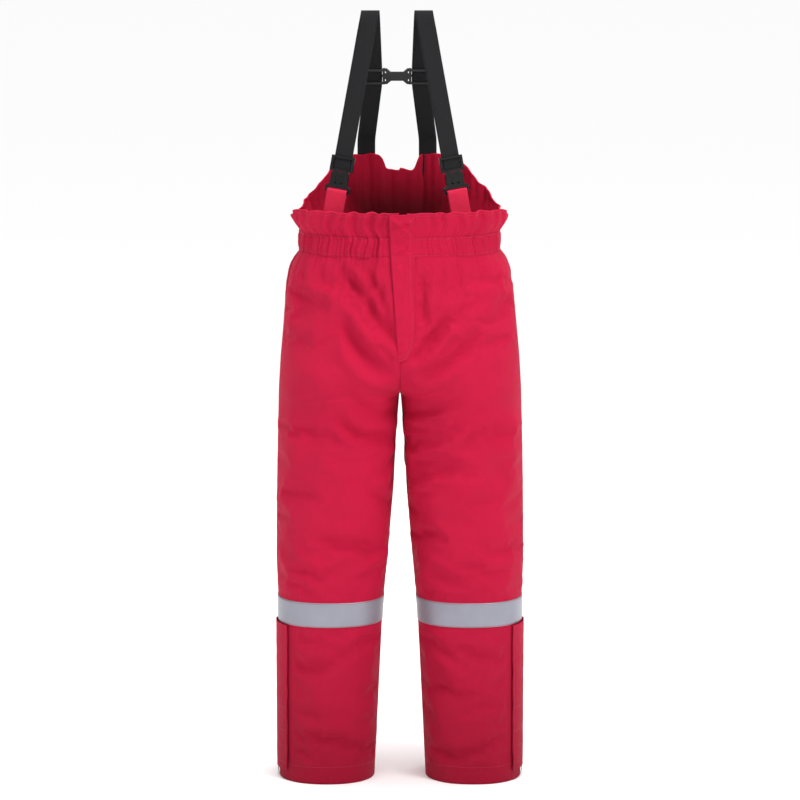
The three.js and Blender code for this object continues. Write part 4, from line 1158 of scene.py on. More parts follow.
# ---- waist, bib and flaps --------------------------------------------------------------------------
@dataclass
class Waist:
    """Gathered casing, the ruffles above it, the raised bib and the fly flap."""

    finishes: Finishes
    shape: LegShape
    casing_columns: int = 520
    facing_thick: float = 3.0

    def build(self) -> None:
        """Build and dress every piece."""
        self.casing()
        for side in Side:
            self.ruffle(side)
        self.bib()
        self.fly()

    def half(self, z: float, side: Side, face: Face, count: int, offset: float, plane: float) -> np.ndarray:
        """One row of one face from the side seam inwards, with x signed."""
        points = LegShape.row(z, side, face, count, offset, plane)
        points[:, 0] *= side.value
        return points

    def casing(self) -> None:
        """Waistband casing round the elastic."""
        rows = np.linspace(WAIST - 1.5, CASING_TOP + 1.5, 27)
        quarter = self.casing_columns // 4
        left, right = Side.LEFT, Side.RIGHT
        points, lifts = [], []
        for z in rows:
            parts = [
                (self.half(z, left, Face.FRONT, quarter, 0.6, 14.0)[::-1], left, Face.FRONT, True),
                (self.half(z, left, Face.BACK, quarter, 0.6, 0.1), left, Face.BACK, False),
                (self.half(z, right, Face.BACK, quarter, 0.6, 0.1)[::-1], right, Face.BACK, True),
                (self.half(z, right, Face.FRONT, quarter, 0.6, 2.0), right, Face.FRONT, False)]
            row, lift = [], []
            for index, (part, side, face, inwards) in enumerate(parts):
                share = np.linspace(0, 1, quarter)
                share = share[::-1] if inwards else share
                lift.append(self.shape.gathered(part, share, side, face)[0 if index == 0 else 1:])
                row.append(part[0 if index == 0 else 1:])
            points.append(np.concatenate(row))
            lifts.append(np.concatenate(lift))
        grid = Grid(np.stack(points)).raised(np.stack(lifts) - 0.9 * self.pinch(rows)[:, None])
        made = Piece("waistband_casing_cloth", self.finishes.twill, slot="shell_fabric",
                     replaces=("waistband_casing", "waist_elastic"))
        thing = made.tie(made.cloth(grid, 5.0))
        self.casing_grid = grid

    @staticmethod
    def pinch(rows: np.ndarray) -> np.ndarray:
        """1 on the casing's two stitch lines."""
        return sum(np.exp(-((rows - line) / 1.9) ** 2) for line in (WAIST + 2.5, CASING_TOP - 2.0))

    def ruffle(self, side: Side) -> None:
        """Cloth that stands above the waist elastic at the front."""
        edge = 14.0 if side is Side.LEFT else 2.0
        columns, count = 190, 26
        share = np.linspace(0, 1, columns)
        rise = RUFFLE_TOP - CASING_TOP
        height = rise - (rise - 31.0) * np.clip(1 - share * 5, 0, 1) ** 1.4
        height = height + 0.8 * waves(share * 292.0, (38.0, 61.0, 103.0), 21 + side.value)
        points = np.zeros((count, columns, 3))
        lift = np.zeros((count, columns))
        for i, up in enumerate(np.linspace(0.0, 1.0, count)):
            level = CASING_TOP + 0.3 + height * up
            lean = 5.0 * up ** 1.5 * smoothstep(share, 0.0, 0.3)
            # Each column of the row stands at its own height.
            row = self.row_at(level, side, columns, edge, lean)
            points[i] = row
            lift[i] = self.shape.gathered(row, share, side, Face.FRONT)
        flutter = waves(share * 292.0, (34.0, 52.0, 77.0), 31 + side.value)
        ups = np.linspace(0.0, 1.0, count)[:, None] ** 1.6
        lift += ups * (2.2 * flutter)[None, :] * smoothstep(np.abs(points[..., 0]), 30, 60)
        lift -= 0.9 * np.exp(-((points[..., 2] - CASING_TOP) / 2.0) ** 2)
        grid = Grid(points)
        if side is Side.LEFT:
            grid, lift = Grid(points[:, ::-1]), lift[:, ::-1]
        grid = grid.raised(lift)
        node = f"{side.word}_front_facing"
        made = Piece(f"{node}_cloth", self.finishes.twill, slot="shell_fabric", replaces=(node,))
        # The inner face takes the inside twill, painted dark low in the middle as shade.
        thing = made.tie(made.cloth(grid, self.facing_thick, self.finishes.inside))
        wide, long, area = grid.flat_size()
        setattr(self, f"{side.word}_ruffle", grid)

    def row_at(self, level: np.ndarray, side: Side, columns: int, edge: float,
               lean: np.ndarray) -> np.ndarray:
        """Front row whose columns each stand at their own height."""
        low, high = float(level.min()), float(level.max())
        steps = np.linspace(low, high + 1e-3, 5)
        stack = np.stack([self.half(z, side, Face.FRONT, columns, 0.0, edge) for z in steps])
        at = (level - low) / (high + 1e-3 - low) * 4
        base = np.minimum(at.astype(int), 3)
        part = (at - base)[:, None]
        index = np.arange(columns)
        row = stack[base, index] * (1 - part) + stack[base + 1, index] * part
        row[:, 1] -= lean
        return row

    def bib(self) -> None:
        """Raised back with two lobes, rolled at its sides."""
        edge = smooth_curve([(0, 109), (29, 109), (38, 138), (90, 141), (136, 118), (160, 88), (184, 62),
                             (216, 32)], 3.5)
        columns, count = 420, 44
        quarter = columns // 2
        share = np.linspace(0, 1, quarter)
        points = []
        ups = np.linspace(0.0, 1.0, count)
        for side in (Side.LEFT, Side.RIGHT):
            base = self.half(RUFFLE_TOP, side, Face.BACK, quarter, 0.0, 0.1)
            rise = edge(np.abs(base[:, 0])) + 1.8 * waves(share * 300, (41.0, 67.0), 40 + side.value)
            block = np.stack([self.bib_row(CASING_TOP + 0.3 + rise * up, side, quarter) for up in ups])
            along = share * 292.0
            folds = (4.2 * waves(along + 8 * ups[:, None], (47.0, 61.0, 88.0), 50 + side.value)
                     + 1.4 * waves(along, (17.0, 23.0), 52 + side.value))
            curl = 12.0 * ups[:, None] ** 2 * smoothstep(share, 0.35, 0.05)[None, :]
            lobe = 5.0 * ups[:, None] ** 3 * np.exp(-((np.abs(base[:, 0]) - 68.0) / 26.0) ** 2)[None, :]
            lift = folds * (0.25 + 0.75 * ups[:, None]) * smoothstep(np.abs(along), 0.0, 14.0)
            lift = lift * smoothstep(292.0 - along, 0.0, 34.0)
            points.append((block, lift + lobe, curl))
        left, right = points
        grid = Grid(np.concatenate([left[0], right[0][:, ::-1][:, 1:]], axis=1))
        lift = np.concatenate([left[1], right[1][:, ::-1][:, 1:]], axis=1)
        curl = np.concatenate([left[2], right[2][:, ::-1][:, 1:]], axis=1)
        grid = grid.raised(lift)
        middle = np.array([0.0, 10.0, 0.0])
        inward = middle - grid.points * np.array([1.0, 1.0, 0.0])
        inward /= np.linalg.norm(inward, axis=-1, keepdims=True)
        grid = Grid(grid.points + inward * curl[..., None] * 0.5)
        made = Piece("back_bib_cloth", self.finishes.twill, slot="shell_fabric", replaces=("back_bib",))
        # The inner face takes the inside twill, painted dark low in the middle as shade.
        thing = made.tie(made.cloth(grid, self.facing_thick, self.finishes.inside))
        wide, long, area = grid.flat_size()
        self.bib_grid = grid

    def bib_row(self, level: np.ndarray, side: Side, columns: int) -> np.ndarray:
        """Back row whose columns each stand at their own height."""
        row = self.half(RUFFLE_TOP, side, Face.BACK, columns, 0.0, 0.1)
        low = self.half(CASING_TOP, side, Face.BACK, columns, 0.0, 0.1)
        part = np.clip((level - CASING_TOP) / (RUFFLE_TOP - CASING_TOP), 0, 1)[:, None]
        made = low * (1 - part) + row * part
        made[:, 2] = level
        return made

    def fly(self) -> None:
        """Fly flap: flush with the left panel along its J-shaped seam and proud at its free edge."""
        columns, count = 32, 170
        across = np.linspace(0.0, 1.0, columns)[None, :] * np.ones((count, 1))
        up = np.linspace(0.0, 1.0, count)[:, None] * np.ones((1, columns))
        rough = FLY_RIGHT_FOOT + (FLY_LEFT + 1.5 - FLY_RIGHT_FOOT) * across
        foot = self.stitch_foot(rough) - 2.0
        z = foot + (RUFFLE_TOP - 1.5 - foot) * up
        edge = self.free_edge(z)
        x = edge + (FLY_LEFT + 1.5 - edge) * across
        section = Section(z)
        reach = np.clip((np.abs(x) - section.centre) / section.half, -1, 1)
        y = -section.front * (1 - np.abs(reach) ** ROUNDNESS) ** (1 / ROUNDNESS)
        grid = Grid(np.stack([x, y, z], -1))
        proud = (1 - smoothstep(across, 0.2, 0.95)) * smoothstep(z - foot, 0.0, 52.0)
        lift = 4.2 * proud + 0.55
        lift -= 1.0 * np.exp(-((x - (FLY_LEFT - 1)) / 1.6) ** 2) * (z > foot + 6)
        follow = np.maximum(LegShape.folds(grid.points, Face.FRONT, held=False), -3.0)
        lift += follow * smoothstep(x, 6.0, 20.0) * (z < WAIST)
        lift += 5.0 * np.clip((z - CASING_TOP) / (RUFFLE_TOP - CASING_TOP), 0, 1) ** 1.5
        lift += 0.7 * waves(x * 0.6 + z, (64.0, 91.0, 150.0), 61) * (1 - smoothstep(across, 0.6, 1.0))
        top = smoothstep(z, WAIST - 60, WAIST)
        for fold in FOLDS_FLY:
            lift += fold.at(x, z) * (0.35 + 0.65 * top)
        grid = grid.raised(lift)
        made = Piece("fly_flap_cloth", self.finishes.twill, slot="shell_fabric", replaces=("fly_flap",))
        thing = made.cloth(grid, 2.0)
        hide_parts("fly_flap")
        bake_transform(thing)
        wide, long, area = grid.flat_size()
        self.fly_grid = grid

    @staticmethod
    def free_edge(z: np.ndarray) -> np.ndarray:
        """Place of the flap's free edge."""
        return np.interp(z, [FLY_FOOT, WAIST, RUFFLE_TOP],
                         [FLY_RIGHT_FOOT, FLY_RIGHT_TOP + 4, FLY_RIGHT_TOP])

    @staticmethod
    def stitch_foot(x: np.ndarray) -> np.ndarray:
        """Height of the J-shaped seam at a place across the flap."""
        part = np.clip((x - FLY_RIGHT_FOOT) / (FLY_LEFT - FLY_RIGHT_FOOT), 0.0, 1.0)
        return FLY_FOOT + 3.0 + 44.0 * part ** 3.2


@dataclass
class StormFlaps:
    """Flaps over the side leg zips, flush at the back and free at the front."""

    finishes: Finishes
    thick: float = 1.8
    fold_x: float = 0.2508
    fold_steps: tuple[float, float] = (0.001, -0.004)

    def build(self) -> None:
        """Build both flaps."""
        for side in Side:
            self.flap(side)

    def flap(self, side: Side) -> None:
        """One flap."""
        word = side.word
        columns = 34
        rows = np.linspace(FLAP_FOOT, FLAP_TOP, 120)
        angles = np.linspace(math.radians(-11.5), math.radians(40), columns)
        points = np.stack([Section(np.array([z]), 0.0).point(angles) for z in rows])
        points[..., 0] *= side.value
        share = np.linspace(0, 1, columns)[None, :] * np.ones((len(rows), 1))
        z = points[..., 2]
        lift = 5.0 * smoothstep(share, 0.0, 0.16)
        long_wave = waves(z + 30 * share, (66.0, 97.0, 151.0), 70 + side.value)
        lift += 0.45 * long_wave * smoothstep(share, 0.2, 0.8)
        lift += 0.3 * waves(z - 50 * share, (38.0, 57.0), 72 + side.value) * smoothstep(share, 0.1, 0.5)
        for line in FLAP_TACKS:
            lift -= 0.5 * np.exp(-((z - line) / 2.4) ** 2) * (share > 0.55)
        lift -= 0.6 * np.exp(-((share - FLAP_STITCH) / 0.018) ** 2)
        grid = Grid(points if side is Side.RIGHT else points[:, ::-1])
        lift = lift if side is Side.RIGHT else lift[:, ::-1]
        lifted = grid.raised(lift)
        node = f"{word}_leg_zip_flap"
        made = Piece(f"{node}_cloth", self.finishes.twill, slot="shell_fabric", replaces=(node,))
        thing = made.cloth(lifted, self.thick)
        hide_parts(node)
        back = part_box(node)[1].y
        start, end = ((side.value * self.fold_x, back + step, 0) for step in self.fold_steps)
        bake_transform(thing)
        wide, long, area = lifted.flat_size()
        setattr(self, f"{word}_grid", lifted)


# ---- braces ----------------------------------------------------------------------------------------
class Route:
    """One side's webbing: where it runs and how it lies."""

    def __init__(self, side: Side, bib: Grid) -> None:
        """Lay the webbing from its tail at the adjuster over the crest to the bib.

        Args:
            side: side of the garment.
            bib: outer face of the bib that the webbing is sewn to.
        """
        self.side = side
        self.up = self.unit(self.front(0) - self.front(100))
        yawed = np.array([math.cos(FRONT_YAW), side.value * math.sin(FRONT_YAW), 0.0])
        self.inward = self.unit(np.cross(self.up, yawed))
        self.across = np.cross(self.inward, self.up)
        self.bib = bib

    @staticmethod
    def unit(vector: np.ndarray) -> np.ndarray:
        """Vector of length 1."""
        return vector / np.linalg.norm(vector)

    def front(self, drop: float) -> np.ndarray:
        """Point on the straight front run, this far below the crest, in mm over the hem."""
        return np.array([self.side.value * (CREST_X + FRONT_SPREAD * drop) + BRACE_SHIFT,
                         -8.0 - FRONT_LEAN * drop, CREST - drop])

    def frame(self, drop: float = ADJUSTER_DROP) -> Matrix:
        """Matrix of the front run's frame: Z up along it, X across it and -Y to the front, in metres."""
        place = in_frame(self.front(drop))
        return Matrix([[self.across[i], self.inward[i], self.up[i], place[i]] for i in range(3)]
                      + [[0, 0, 0, 1]])

    def stations(self) -> tuple[np.ndarray, np.ndarray]:
        """Points along the webbing's middle and the directions across it."""
        level = np.array([1.0, 0.0, 0.0])
        sign = self.side.value
        points, wide = [], []

        def add(at: Sequence[float], across: np.ndarray) -> None:
            """Add one station."""
            points.append(np.array(at, float))
            wide.append(self.unit(np.array(across, float)))

        for drop in (316.0, 260.0, 183.0, 130.0, 90.0):
            add(self.front(drop), self.across)
        add(self.front(40), self.across * 0.4 + level * 0.6)
        top = CREST - WEBBING_THICK / 2
        for y, fall in ((-11, 18), (-9, 9), (-5, 2.5), (0, 0), (5, 2.5), (9, 9), (12, 18)):
            spread = FRONT_SPREAD * fall if y < 0 else -0.06 * fall
            add((sign * (CREST_X + spread) + BRACE_SHIFT, y, top - fall), level)
        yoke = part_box("yoke_connector")
        yoke_z = ((yoke[0].z + yoke[1].z) / 2 - HEM_LEVEL) / MM
        yoke_y = (yoke[0].y + yoke[1].y) / 2 / MM
        slope = (yoke_y - 12) / (CREST - 18 - yoke_z)
        for step in (16.0, -16.0):
            add((sign * YOKE_X + BRACE_SHIFT, yoke_y - step * slope, yoke_z + step), level)
        x = sign * BIB_X + BRACE_SHIFT
        bib_top = CASING_TOP + 143.0
        for z in (bib_top + 26, bib_top - 8, bib_top - 34, bib_top - 64, bib_top - 96):
            at, chord = self.on_bib(x, z)
            add(at, chord)
        return np.stack(points), np.stack(wide)

    def on_bib(self, x: float, z: float) -> tuple[np.ndarray, np.ndarray]:
        """Place just outside the bib, and the chord of its curve there."""
        grid = self.bib.points
        sides = []
        for shift in (-WEBBING_WIDTH / 2, 0.0, WEBBING_WIDTH / 2):
            level = min(z, CASING_TOP + 138.0)
            gap = (grid[..., 0] - x - shift) ** 2 + (grid[..., 2] - level) ** 2
            sides.append(grid[np.unravel_index(np.argmin(gap), gap.shape)][1])
        out = max(sides) + 1.6
        return np.array([x, out + (2.0 if z > CASING_TOP + 143 else 0.0), z]), np.array([1.0, 0.0, 0.0])

    def ribbon(self, width: float, lift: float = 0.0, along: int = 260, across: int = 9) -> Grid:
        """Smooth ribbon along the whole route.

        Args:
            width: its width in mm.
            lift: distance off the webbing's middle.
            along: rows.
            across: columns.

        Returns:
            The ribbon's outer face.
        """
        points, wide = self.stations()
        run = np.concatenate([[0.0], np.cumsum(np.linalg.norm(np.diff(points, axis=0), axis=1))])
        places = np.linspace(0, run[-1], along)
        kernel = np.exp(-0.5 * (np.arange(-12, 13) / 2.2) ** 2)
        kernel /= kernel.sum()

        def smooth(values: np.ndarray) -> np.ndarray:
            """Evenly spaced and lightly rounded values."""
            lines = []
            for i in range(3):
                line = np.interp(places, run, values[:, i])
                ends = np.concatenate([2 * line[0] - line[12:0:-1], line, 2 * line[-1] - line[-2:-14:-1]])
                lines.append(np.convolve(ends, kernel, mode="valid"))
            return np.stack(lines, -1)

        middle, side = smooth(points), smooth(wide)
        side /= np.linalg.norm(side, axis=1, keepdims=True)
        offsets = np.linspace(-0.5, 0.5, across) * width
        made = Grid(middle[:, None, :] + side[:, None, :] * offsets[None, :, None])
        return made.raised(lift)


def dress(node: str, material: bpy.types.Material, bevel: float = 0.0,
          angle: float = math.radians(30)) -> None:
    """Give a CAD piece a finish and, for hard pieces, rounded edges.

    Args:
        node: the piece.
        material: its finish.
        bevel: width of the rounding in metres, or 0 for none.
        angle: edges sharper than this are rounded.
    """
    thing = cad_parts[node]
    thing.data.materials.clear()
    thing.data.materials.append(material)
    if bevel:
        rounded = thing.modifiers.new("rounded", "BEVEL")
        rounded.width = bevel
        rounded.segments = 2
        rounded.limit_method = "ANGLE"
        rounded.angle_limit = angle
    LOG.info("%s dressed", node)


@dataclass
class Braces:
    """Webbing, adjusters, buckles, tabs and the yoke between the back runs."""

    finishes: Finishes
    waist: Waist
    bevel: float = 0.0004

    def build(self) -> None:
        """Build and dress every piece."""
        for side in Side:
            route = Route(side, self.waist.bib_grid)
            self.webbing(side, route)
            self.tab(side, route)
            for part in ("brace_adjuster", "buckle_socket", "release_tongue"):
                self.plastic(f"{side.word}_{part}")
        self.plastic("yoke_connector")

    def plastic(self, node: str) -> None:
        """Dress a moulded CAD piece and round its edges."""
        dress(node, self.finishes.plastic, self.bevel, math.radians(35))

    def webbing(self, side: Side, route: Route) -> None:
        """One run of webbing."""
        node = f"{side.word}_brace_webbing"
        grid = route.ribbon(WEBBING_WIDTH, WEBBING_THICK / 2)
        made = Piece(f"{node}_ribbed", self.finishes.webbing, slot="webbing", replaces=(node,))
        thing = made.tie(made.cloth(grid, WEBBING_THICK))
        wide, long, _ = grid.flat_size()

    def tab(self, side: Side, route: Route) -> None:
        """Red tab folded through the buckle's bar and sewn inside the ruffle."""
        node = f"{side.word}_brace_tab"
        frame_of = route.frame()
        half = 20.0
        columns = 17
        profile = [
            (-7.2, -146.0), (-6.8, -130.0), (-6.6, -110.0), (-6.4, -90.0), (-6.6, -74.0), (-7.2, -64.0),
            (-7.4, -58.0), (-7.1, -54.6), (-5.9, -52.6), (-3.7, -51.9), (-1.5, -52.6), (-0.3, -54.6),
            (-0.1, -58.0), (-1.0, -64.0), (-3.6, -72.0), (-4.4, -90.0), (-4.6, -110.0), (-4.8, -142.0)]
        line = cubic(np.array(profile), 6, 0)
        across = np.linspace(-half, half, columns)
        pucker = 0.35 * waves(np.arange(len(line)) * 2.0, (31.0, 47.0), 80 + side.value)
        points = []
        for (y, z), wave in zip(line, pucker):
            shape = 0.5 * np.cos(across / half * 2.2) + wave * np.sin(across / half * 3)
            points.append([tuple(frame_of @ Vector((x * MM, (y - s * 0.5) * MM, z * MM)))
                           for x, s in zip(across, shape)])
        grid = Grid((np.array(points) - np.array([0, 0, HEM_LEVEL])) / MM)
        made = Piece(f"{node}_cloth", self.finishes.tab, slot="tab_fabric", replaces=(node,))
        thing = made.tie(made.cloth(Grid(grid.points[:, ::-1]), 1.3))
        wide, long, _ = grid.flat_size()


@dataclass
class Fasteners:
    """Zips, hook and bar and touch fastener: CAD pieces with their own finishes."""

    finishes: Finishes

    def build(self) -> None:
        """Dress every piece."""
        # The fly shield takes the inside twill, painted dark as shade.
        dress("fly_shield", self.finishes.inside)
        dress("fly_zip_chain", self.finishes.zip_tape)
        for node in ("fly_zip_slider", "fly_zip_puller", "waist_bar", "waist_hook"):
            dress(node, self.finishes.metal, 0.0002)
        for side in Side:
            dress(f"{side.word}_leg_zip_chain", self.finishes.zip_tape)
            for part in ("leg_zip_slider", "leg_zip_puller"):
                dress(f"{side.word}_{part}", self.finishes.metal, 0.0002)
            for part in ("leg_hook_patch", "leg_loop_patch"):
                dress(f"{side.word}_{part}", self.finishes.zip_tape)


# ---- stitches and zip teeth ------------------------------------------------------------------------
@dataclass(frozen=True)
class Seam:
    """A line to sew along: points in mm and the cloth's normal at each."""

    points: np.ndarray
    normals: np.ndarray

    @classmethod
    def row(cls, grid: Grid, row: int, lift: float = 0.15, start: int = 0,
            stop: int | None = None) -> "Seam":
        """Line along one row of a grid, this far off the cloth."""
        normals = grid.normals()[row, start:stop]
        return cls(grid.points[row, start:stop] + normals * lift, normals)

    @classmethod
    def column(cls, grid: Grid, column: int, lift: float = 0.15, start: int = 0,
               stop: int | None = None) -> "Seam":
        """Line along one column of a grid, this far off the cloth."""
        normals = grid.normals()[start:stop, column]
        return cls(grid.points[start:stop, column] + normals * lift, normals)

    @classmethod
    def level(cls, grid: Grid, height: float, lift: float = 0.15) -> "Seam":
        """Line along the row nearest to a height."""
        return cls.row(grid, int(np.argmin(np.abs(grid.points[..., 2].mean(1) - height))), lift)


class Repeater:
    """Geometry Nodes tree that sets one small body again and again along lines."""

    def __init__(self) -> None:
        """Build the tree once."""
        tree = bpy.data.node_groups.new("repeat_along_lines", "GeometryNodeTree")
        self.tree = tree
        face = tree.interface
        face.new_socket("Geometry", in_out="OUTPUT", socket_type="NodeSocketGeometry")
        self.keys = {}
        for name, kind in (("Geometry", "NodeSocketGeometry"), ("Pitch", "NodeSocketFloat"),
                           ("Size", "NodeSocketVector"), ("Material", "NodeSocketMaterial")):
            self.keys[name] = face.new_socket(name, in_out="INPUT", socket_type=kind).identifier
        given = tree.nodes.new("NodeGroupInput")
        made = tree.nodes.new("NodeGroupOutput")

        def add(kind: str, links: dict[str, object], **settings: object) -> bpy.types.Node:
            """Add a node, set it up and link or set its inputs."""
            node = tree.nodes.new(kind)
            for key, value in settings.items():
                setattr(node, key, value)
            for key, item in links.items():
                slot = node.inputs[key]
                if isinstance(item, bpy.types.NodeSocket):
                    tree.links.new(item, slot)
                else:
                    slot.default_value = item
            return node

        curve = add("GeometryNodeMeshToCurve", {"Mesh": given.outputs["Geometry"]})
        spaced = add("GeometryNodeResampleCurve", {"Curve": curve.outputs["Curve"],
                                                   "Length": given.outputs["Pitch"]}, mode="LENGTH")
        normal = add("GeometryNodeInputNamedAttribute", {"Name": "cloth_normal"}, data_type="FLOAT_VECTOR")
        tangent = add("GeometryNodeInputTangent", {})
        upright = add("FunctionNodeAlignRotationToVector", {"Vector": normal.outputs["Attribute"]},
                      axis="Z")
        turned = add("FunctionNodeAlignRotationToVector",
                     {"Rotation": upright.outputs["Rotation"], "Vector": tangent.outputs["Tangent"]},
                     axis="X", pivot_axis="Z")
        body = add("GeometryNodeMeshUVSphere", {"Segments": 6, "Rings": 4, "Radius": 0.5})
        put = add("GeometryNodeInstanceOnPoints",
                  {"Points": spaced.outputs["Curve"], "Instance": body.outputs["Mesh"],
                   "Rotation": turned.outputs["Rotation"], "Scale": given.outputs["Size"]})
        real = add("GeometryNodeRealizeInstances", {"Geometry": put.outputs["Instances"]})
        dressed = add("GeometryNodeSetMaterial", {"Geometry": real.outputs["Geometry"],
                                                  "Material": given.outputs["Material"]})
        tree.links.new(dressed.outputs["Geometry"], made.inputs["Geometry"])

    def along(self, name: str, seams: Sequence[Seam], pitch: float, size: tuple[float, float, float],
              material: bpy.types.Material, body: str = "trousers", slot: str = "shell_fabric",
              ties: Callable[[bpy.types.Object], None] | None = None) -> bpy.types.Object:
        """Set bodies along some lines.

        Args:
            name: name of the piece.
            seams: the lines.
            pitch: distance from one body to the next, in mm.
            size: body's length along the line, width and height, in mm.
            material: its finish.
            body: frame body it rides on.
            slot: not used.
            ties: how it is tied to the frame, if not by riding on the body.

        Returns:
            One mesh object.
        """
        points, normals, edges = [], [], []
        for seam in seams:
            first = len(points)
            points += list(in_frame(seam.points))
            normals += list(seam.normals)
            edges += [(i, i + 1) for i in range(first, len(points) - 1)]
        data = bpy.data.meshes.new(f"{name}_lines")
        data.from_pydata([tuple(p) for p in points], edges, [])
        data.attributes.new("cloth_normal", "FLOAT_VECTOR", "POINT").data.foreach_set(
            "vector", np.array(normals).ravel())
        lines = bpy.data.objects.new(f"{name}_lines", data)
        bpy.context.scene.collection.objects.link(lines)
        modifier = lines.modifiers.new("repeat", "NODES")
        modifier.node_group = self.tree
        modifier[self.keys["Pitch"]] = pitch * MM
        modifier[self.keys["Size"]] = [v * MM for v in size]
        modifier[self.keys["Material"]] = material
        evaluated = lines.evaluated_get(bpy.context.evaluated_depsgraph_get())
        mesh = bpy.data.meshes.new_from_object(evaluated)
        mesh.name = name
        bpy.data.objects.remove(lines)
        if not mesh.materials:
            mesh.materials.append(material)
        mesh.polygons.foreach_set("use_smooth", [True] * len(mesh.polygons))
        made = bpy.data.objects.new(name, mesh)
        bpy.context.scene.collection.objects.link(made)
        if ties:
            ties(made)
        else:
            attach(made, body)
        LOG.info("%s: %d faces", name, len(mesh.polygons))
        return made


@dataclass
class Needlework:
    """Stitches of every seam, and the teeth of the zips."""

    finishes: Finishes
    legs: Legs
    waist: Waist
    flaps: StormFlaps
    stitch: tuple[float, float, float] = (2.5, 0.75, 0.5)
    pitch: float = 3.3
    hem: float = 34.0
    tack: int = 12

    def build(self) -> None:
        """Sew every seam."""
        self.repeater = Repeater()
        for side in Side:
            self.leg(side)
            self.flap(side)
            self.teeth(f"{side.word}_leg_zip_teeth", f"{side.word}_leg_zip_chain", side)
        self.waistline()
        self.fly()
        self.fly_teeth()

    def sew(self, name: str, seams: Sequence[Seam], body: str = "trousers") -> bpy.types.Object:
        """Sew lines in the garment's own thread."""
        return self.repeater.along(name, seams, self.pitch, self.stitch, self.finishes.thread, body)

    def leg(self, side: Side) -> None:
        """Side seam, inseam, hem and band stitches of one leg."""
        shape = self.legs.shape
        front, back = shape.grids[side, Face.FRONT], shape.grids[side, Face.BACK]
        outer_front = -1 if side is Side.LEFT else 0
        outer_back = 0 if side is Side.LEFT else -1
        step = -2 if outer_front == -1 else 2
        above = int(np.argmin(np.abs(front.points[:, 0, 2] - BAND_FOOT - BAND_WIDTH - 3)))
        seams = [Seam.column(front, outer_front + step if outer_front == 0 else step - 1, start=above),
                 Seam.column(back, outer_back + (2 if outer_back == 0 else -2), start=above)]
        ring = self.legs.ring(side, self.hem, self.hem + 2, 3)
        hem = Seam.row(ring.joined(), 1, 0.2)
        crotch = int(np.argmin(np.abs(front.points[:, 0, 2] - INSEAM + 6)))
        inner_back = -1 if outer_back == 0 else 0
        seams.append(Seam.column(back, inner_back + (3 if inner_back == 0 else -3), stop=crotch))
        self.sew(f"{side.word}_leg_stitches", [*seams, hem])
        lines = []
        for height in (BAND_FOOT + 2.0, BAND_FOOT + BAND_WIDTH - 2.0):
            band = self.legs.ring(side, height - 1, height + 1, 3)
            lines.append(Seam.row(band.joined(), 1, self.legs.band_lift + 0.45))
        self.sew(f"{side.word}_band_stitches", lines)

    def flap(self, side: Side) -> None:
        """Edge stitches and bar tacks of one storm flap."""
        grid = getattr(self.flaps, f"{side.word}_grid")
        last = grid.points.shape[1] - 1
        column = int(round(FLAP_STITCH * last))
        if side is Side.LEFT:
            column = last - column
        lines = [Seam.column(grid, column, 0.1)]
        heights = grid.points[:, 0, 2]
        for level in FLAP_TACKS:
            row = int(np.argmin(np.abs(heights - level)))
            start, stop = sorted((column, column + side.value * self.tack))
            lines.append(Seam.row(grid, row, 0.1, start, stop))
        self.sew(f"{side.word}_flap_stitches", lines, f"{side.word}_leg_flap")

    def waistline(self) -> None:
        """Casing, ruffle and bib stitches."""
        casing = self.waist.casing_grid
        lines = [Seam.level(casing, WAIST + 2.5), Seam.level(casing, CASING_TOP - 2.0)]
        for side in Side:
            ruffle = getattr(self.waist, f"{side.word}_ruffle")
            lines.append(Seam.row(ruffle, -4))
        lines.append(Seam.row(self.waist.bib_grid, -3))
        self.sew("waist_stitches", lines)

    def fly(self) -> None:
        """Two J-shaped rows that hold the fly flap."""
        grid = self.waist.fly_grid
        lines = []
        for inset in (2, 6):
            down = Seam.column(grid, -1 - inset, 0.12, start=inset, stop=-3)
            foot = Seam.row(grid, inset, 0.12, 1, -inset)
            lines.append(Seam(np.concatenate([foot.points, down.points]),
                              np.concatenate([foot.normals, down.normals])))
        self.sew("fly_stitches", lines)

    def teeth(self, name: str, node: str, side: Side) -> None:
        """Teeth of one leg zip."""
        low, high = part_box(node)
        x = side.value * (max(abs(low.x), abs(high.x)) / MM + 0.15)
        z = np.linspace((low.z - HEM_LEVEL) / MM + 1, (high.z - HEM_LEVEL) / MM - 1, 60)
        normal = np.tile([side.value, 0.0, 0.0], (60, 1)).astype(float)
        lines = [Seam(np.stack([np.full(60, x), np.full(60, y), z], -1), normal) for y in (-1.05, 1.05)]
        self.repeater.along(name, lines, 1.6, (1.0, 2.4, 1.3), self.finishes.plastic, slot="black_plastic")

    def fly_teeth(self) -> None:
        """Teeth of the fly zip."""
        low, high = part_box("fly_zip_chain")
        middle = (low.x + high.x) / 2 / MM
        thick = 1.6
        foot = np.array([middle, low.y / MM - 0.2, (low.z - HEM_LEVEL) / MM + 1])
        rise = (high.z - low.z) / MM - 2
        tilt = (high.y - low.y) / MM - thick
        head = foot + np.array([0.0, tilt, rise])
        way = (head - foot) / np.linalg.norm(head - foot)
        normal = np.cross([1.0, 0.0, 0.0], way)
        share = np.linspace(0, 1, 60)[:, None]
        lines = [Seam(foot + (head - foot) * share + np.array([x, 0, 0]), np.tile(normal, (60, 1)))
                 for x in (-1.1, 1.1)]
        self.repeater.along("fly_zip_teeth", lines, 1.6, (1.0, 2.4, 1.3), self.finishes.plastic,
                            slot="black_plastic")


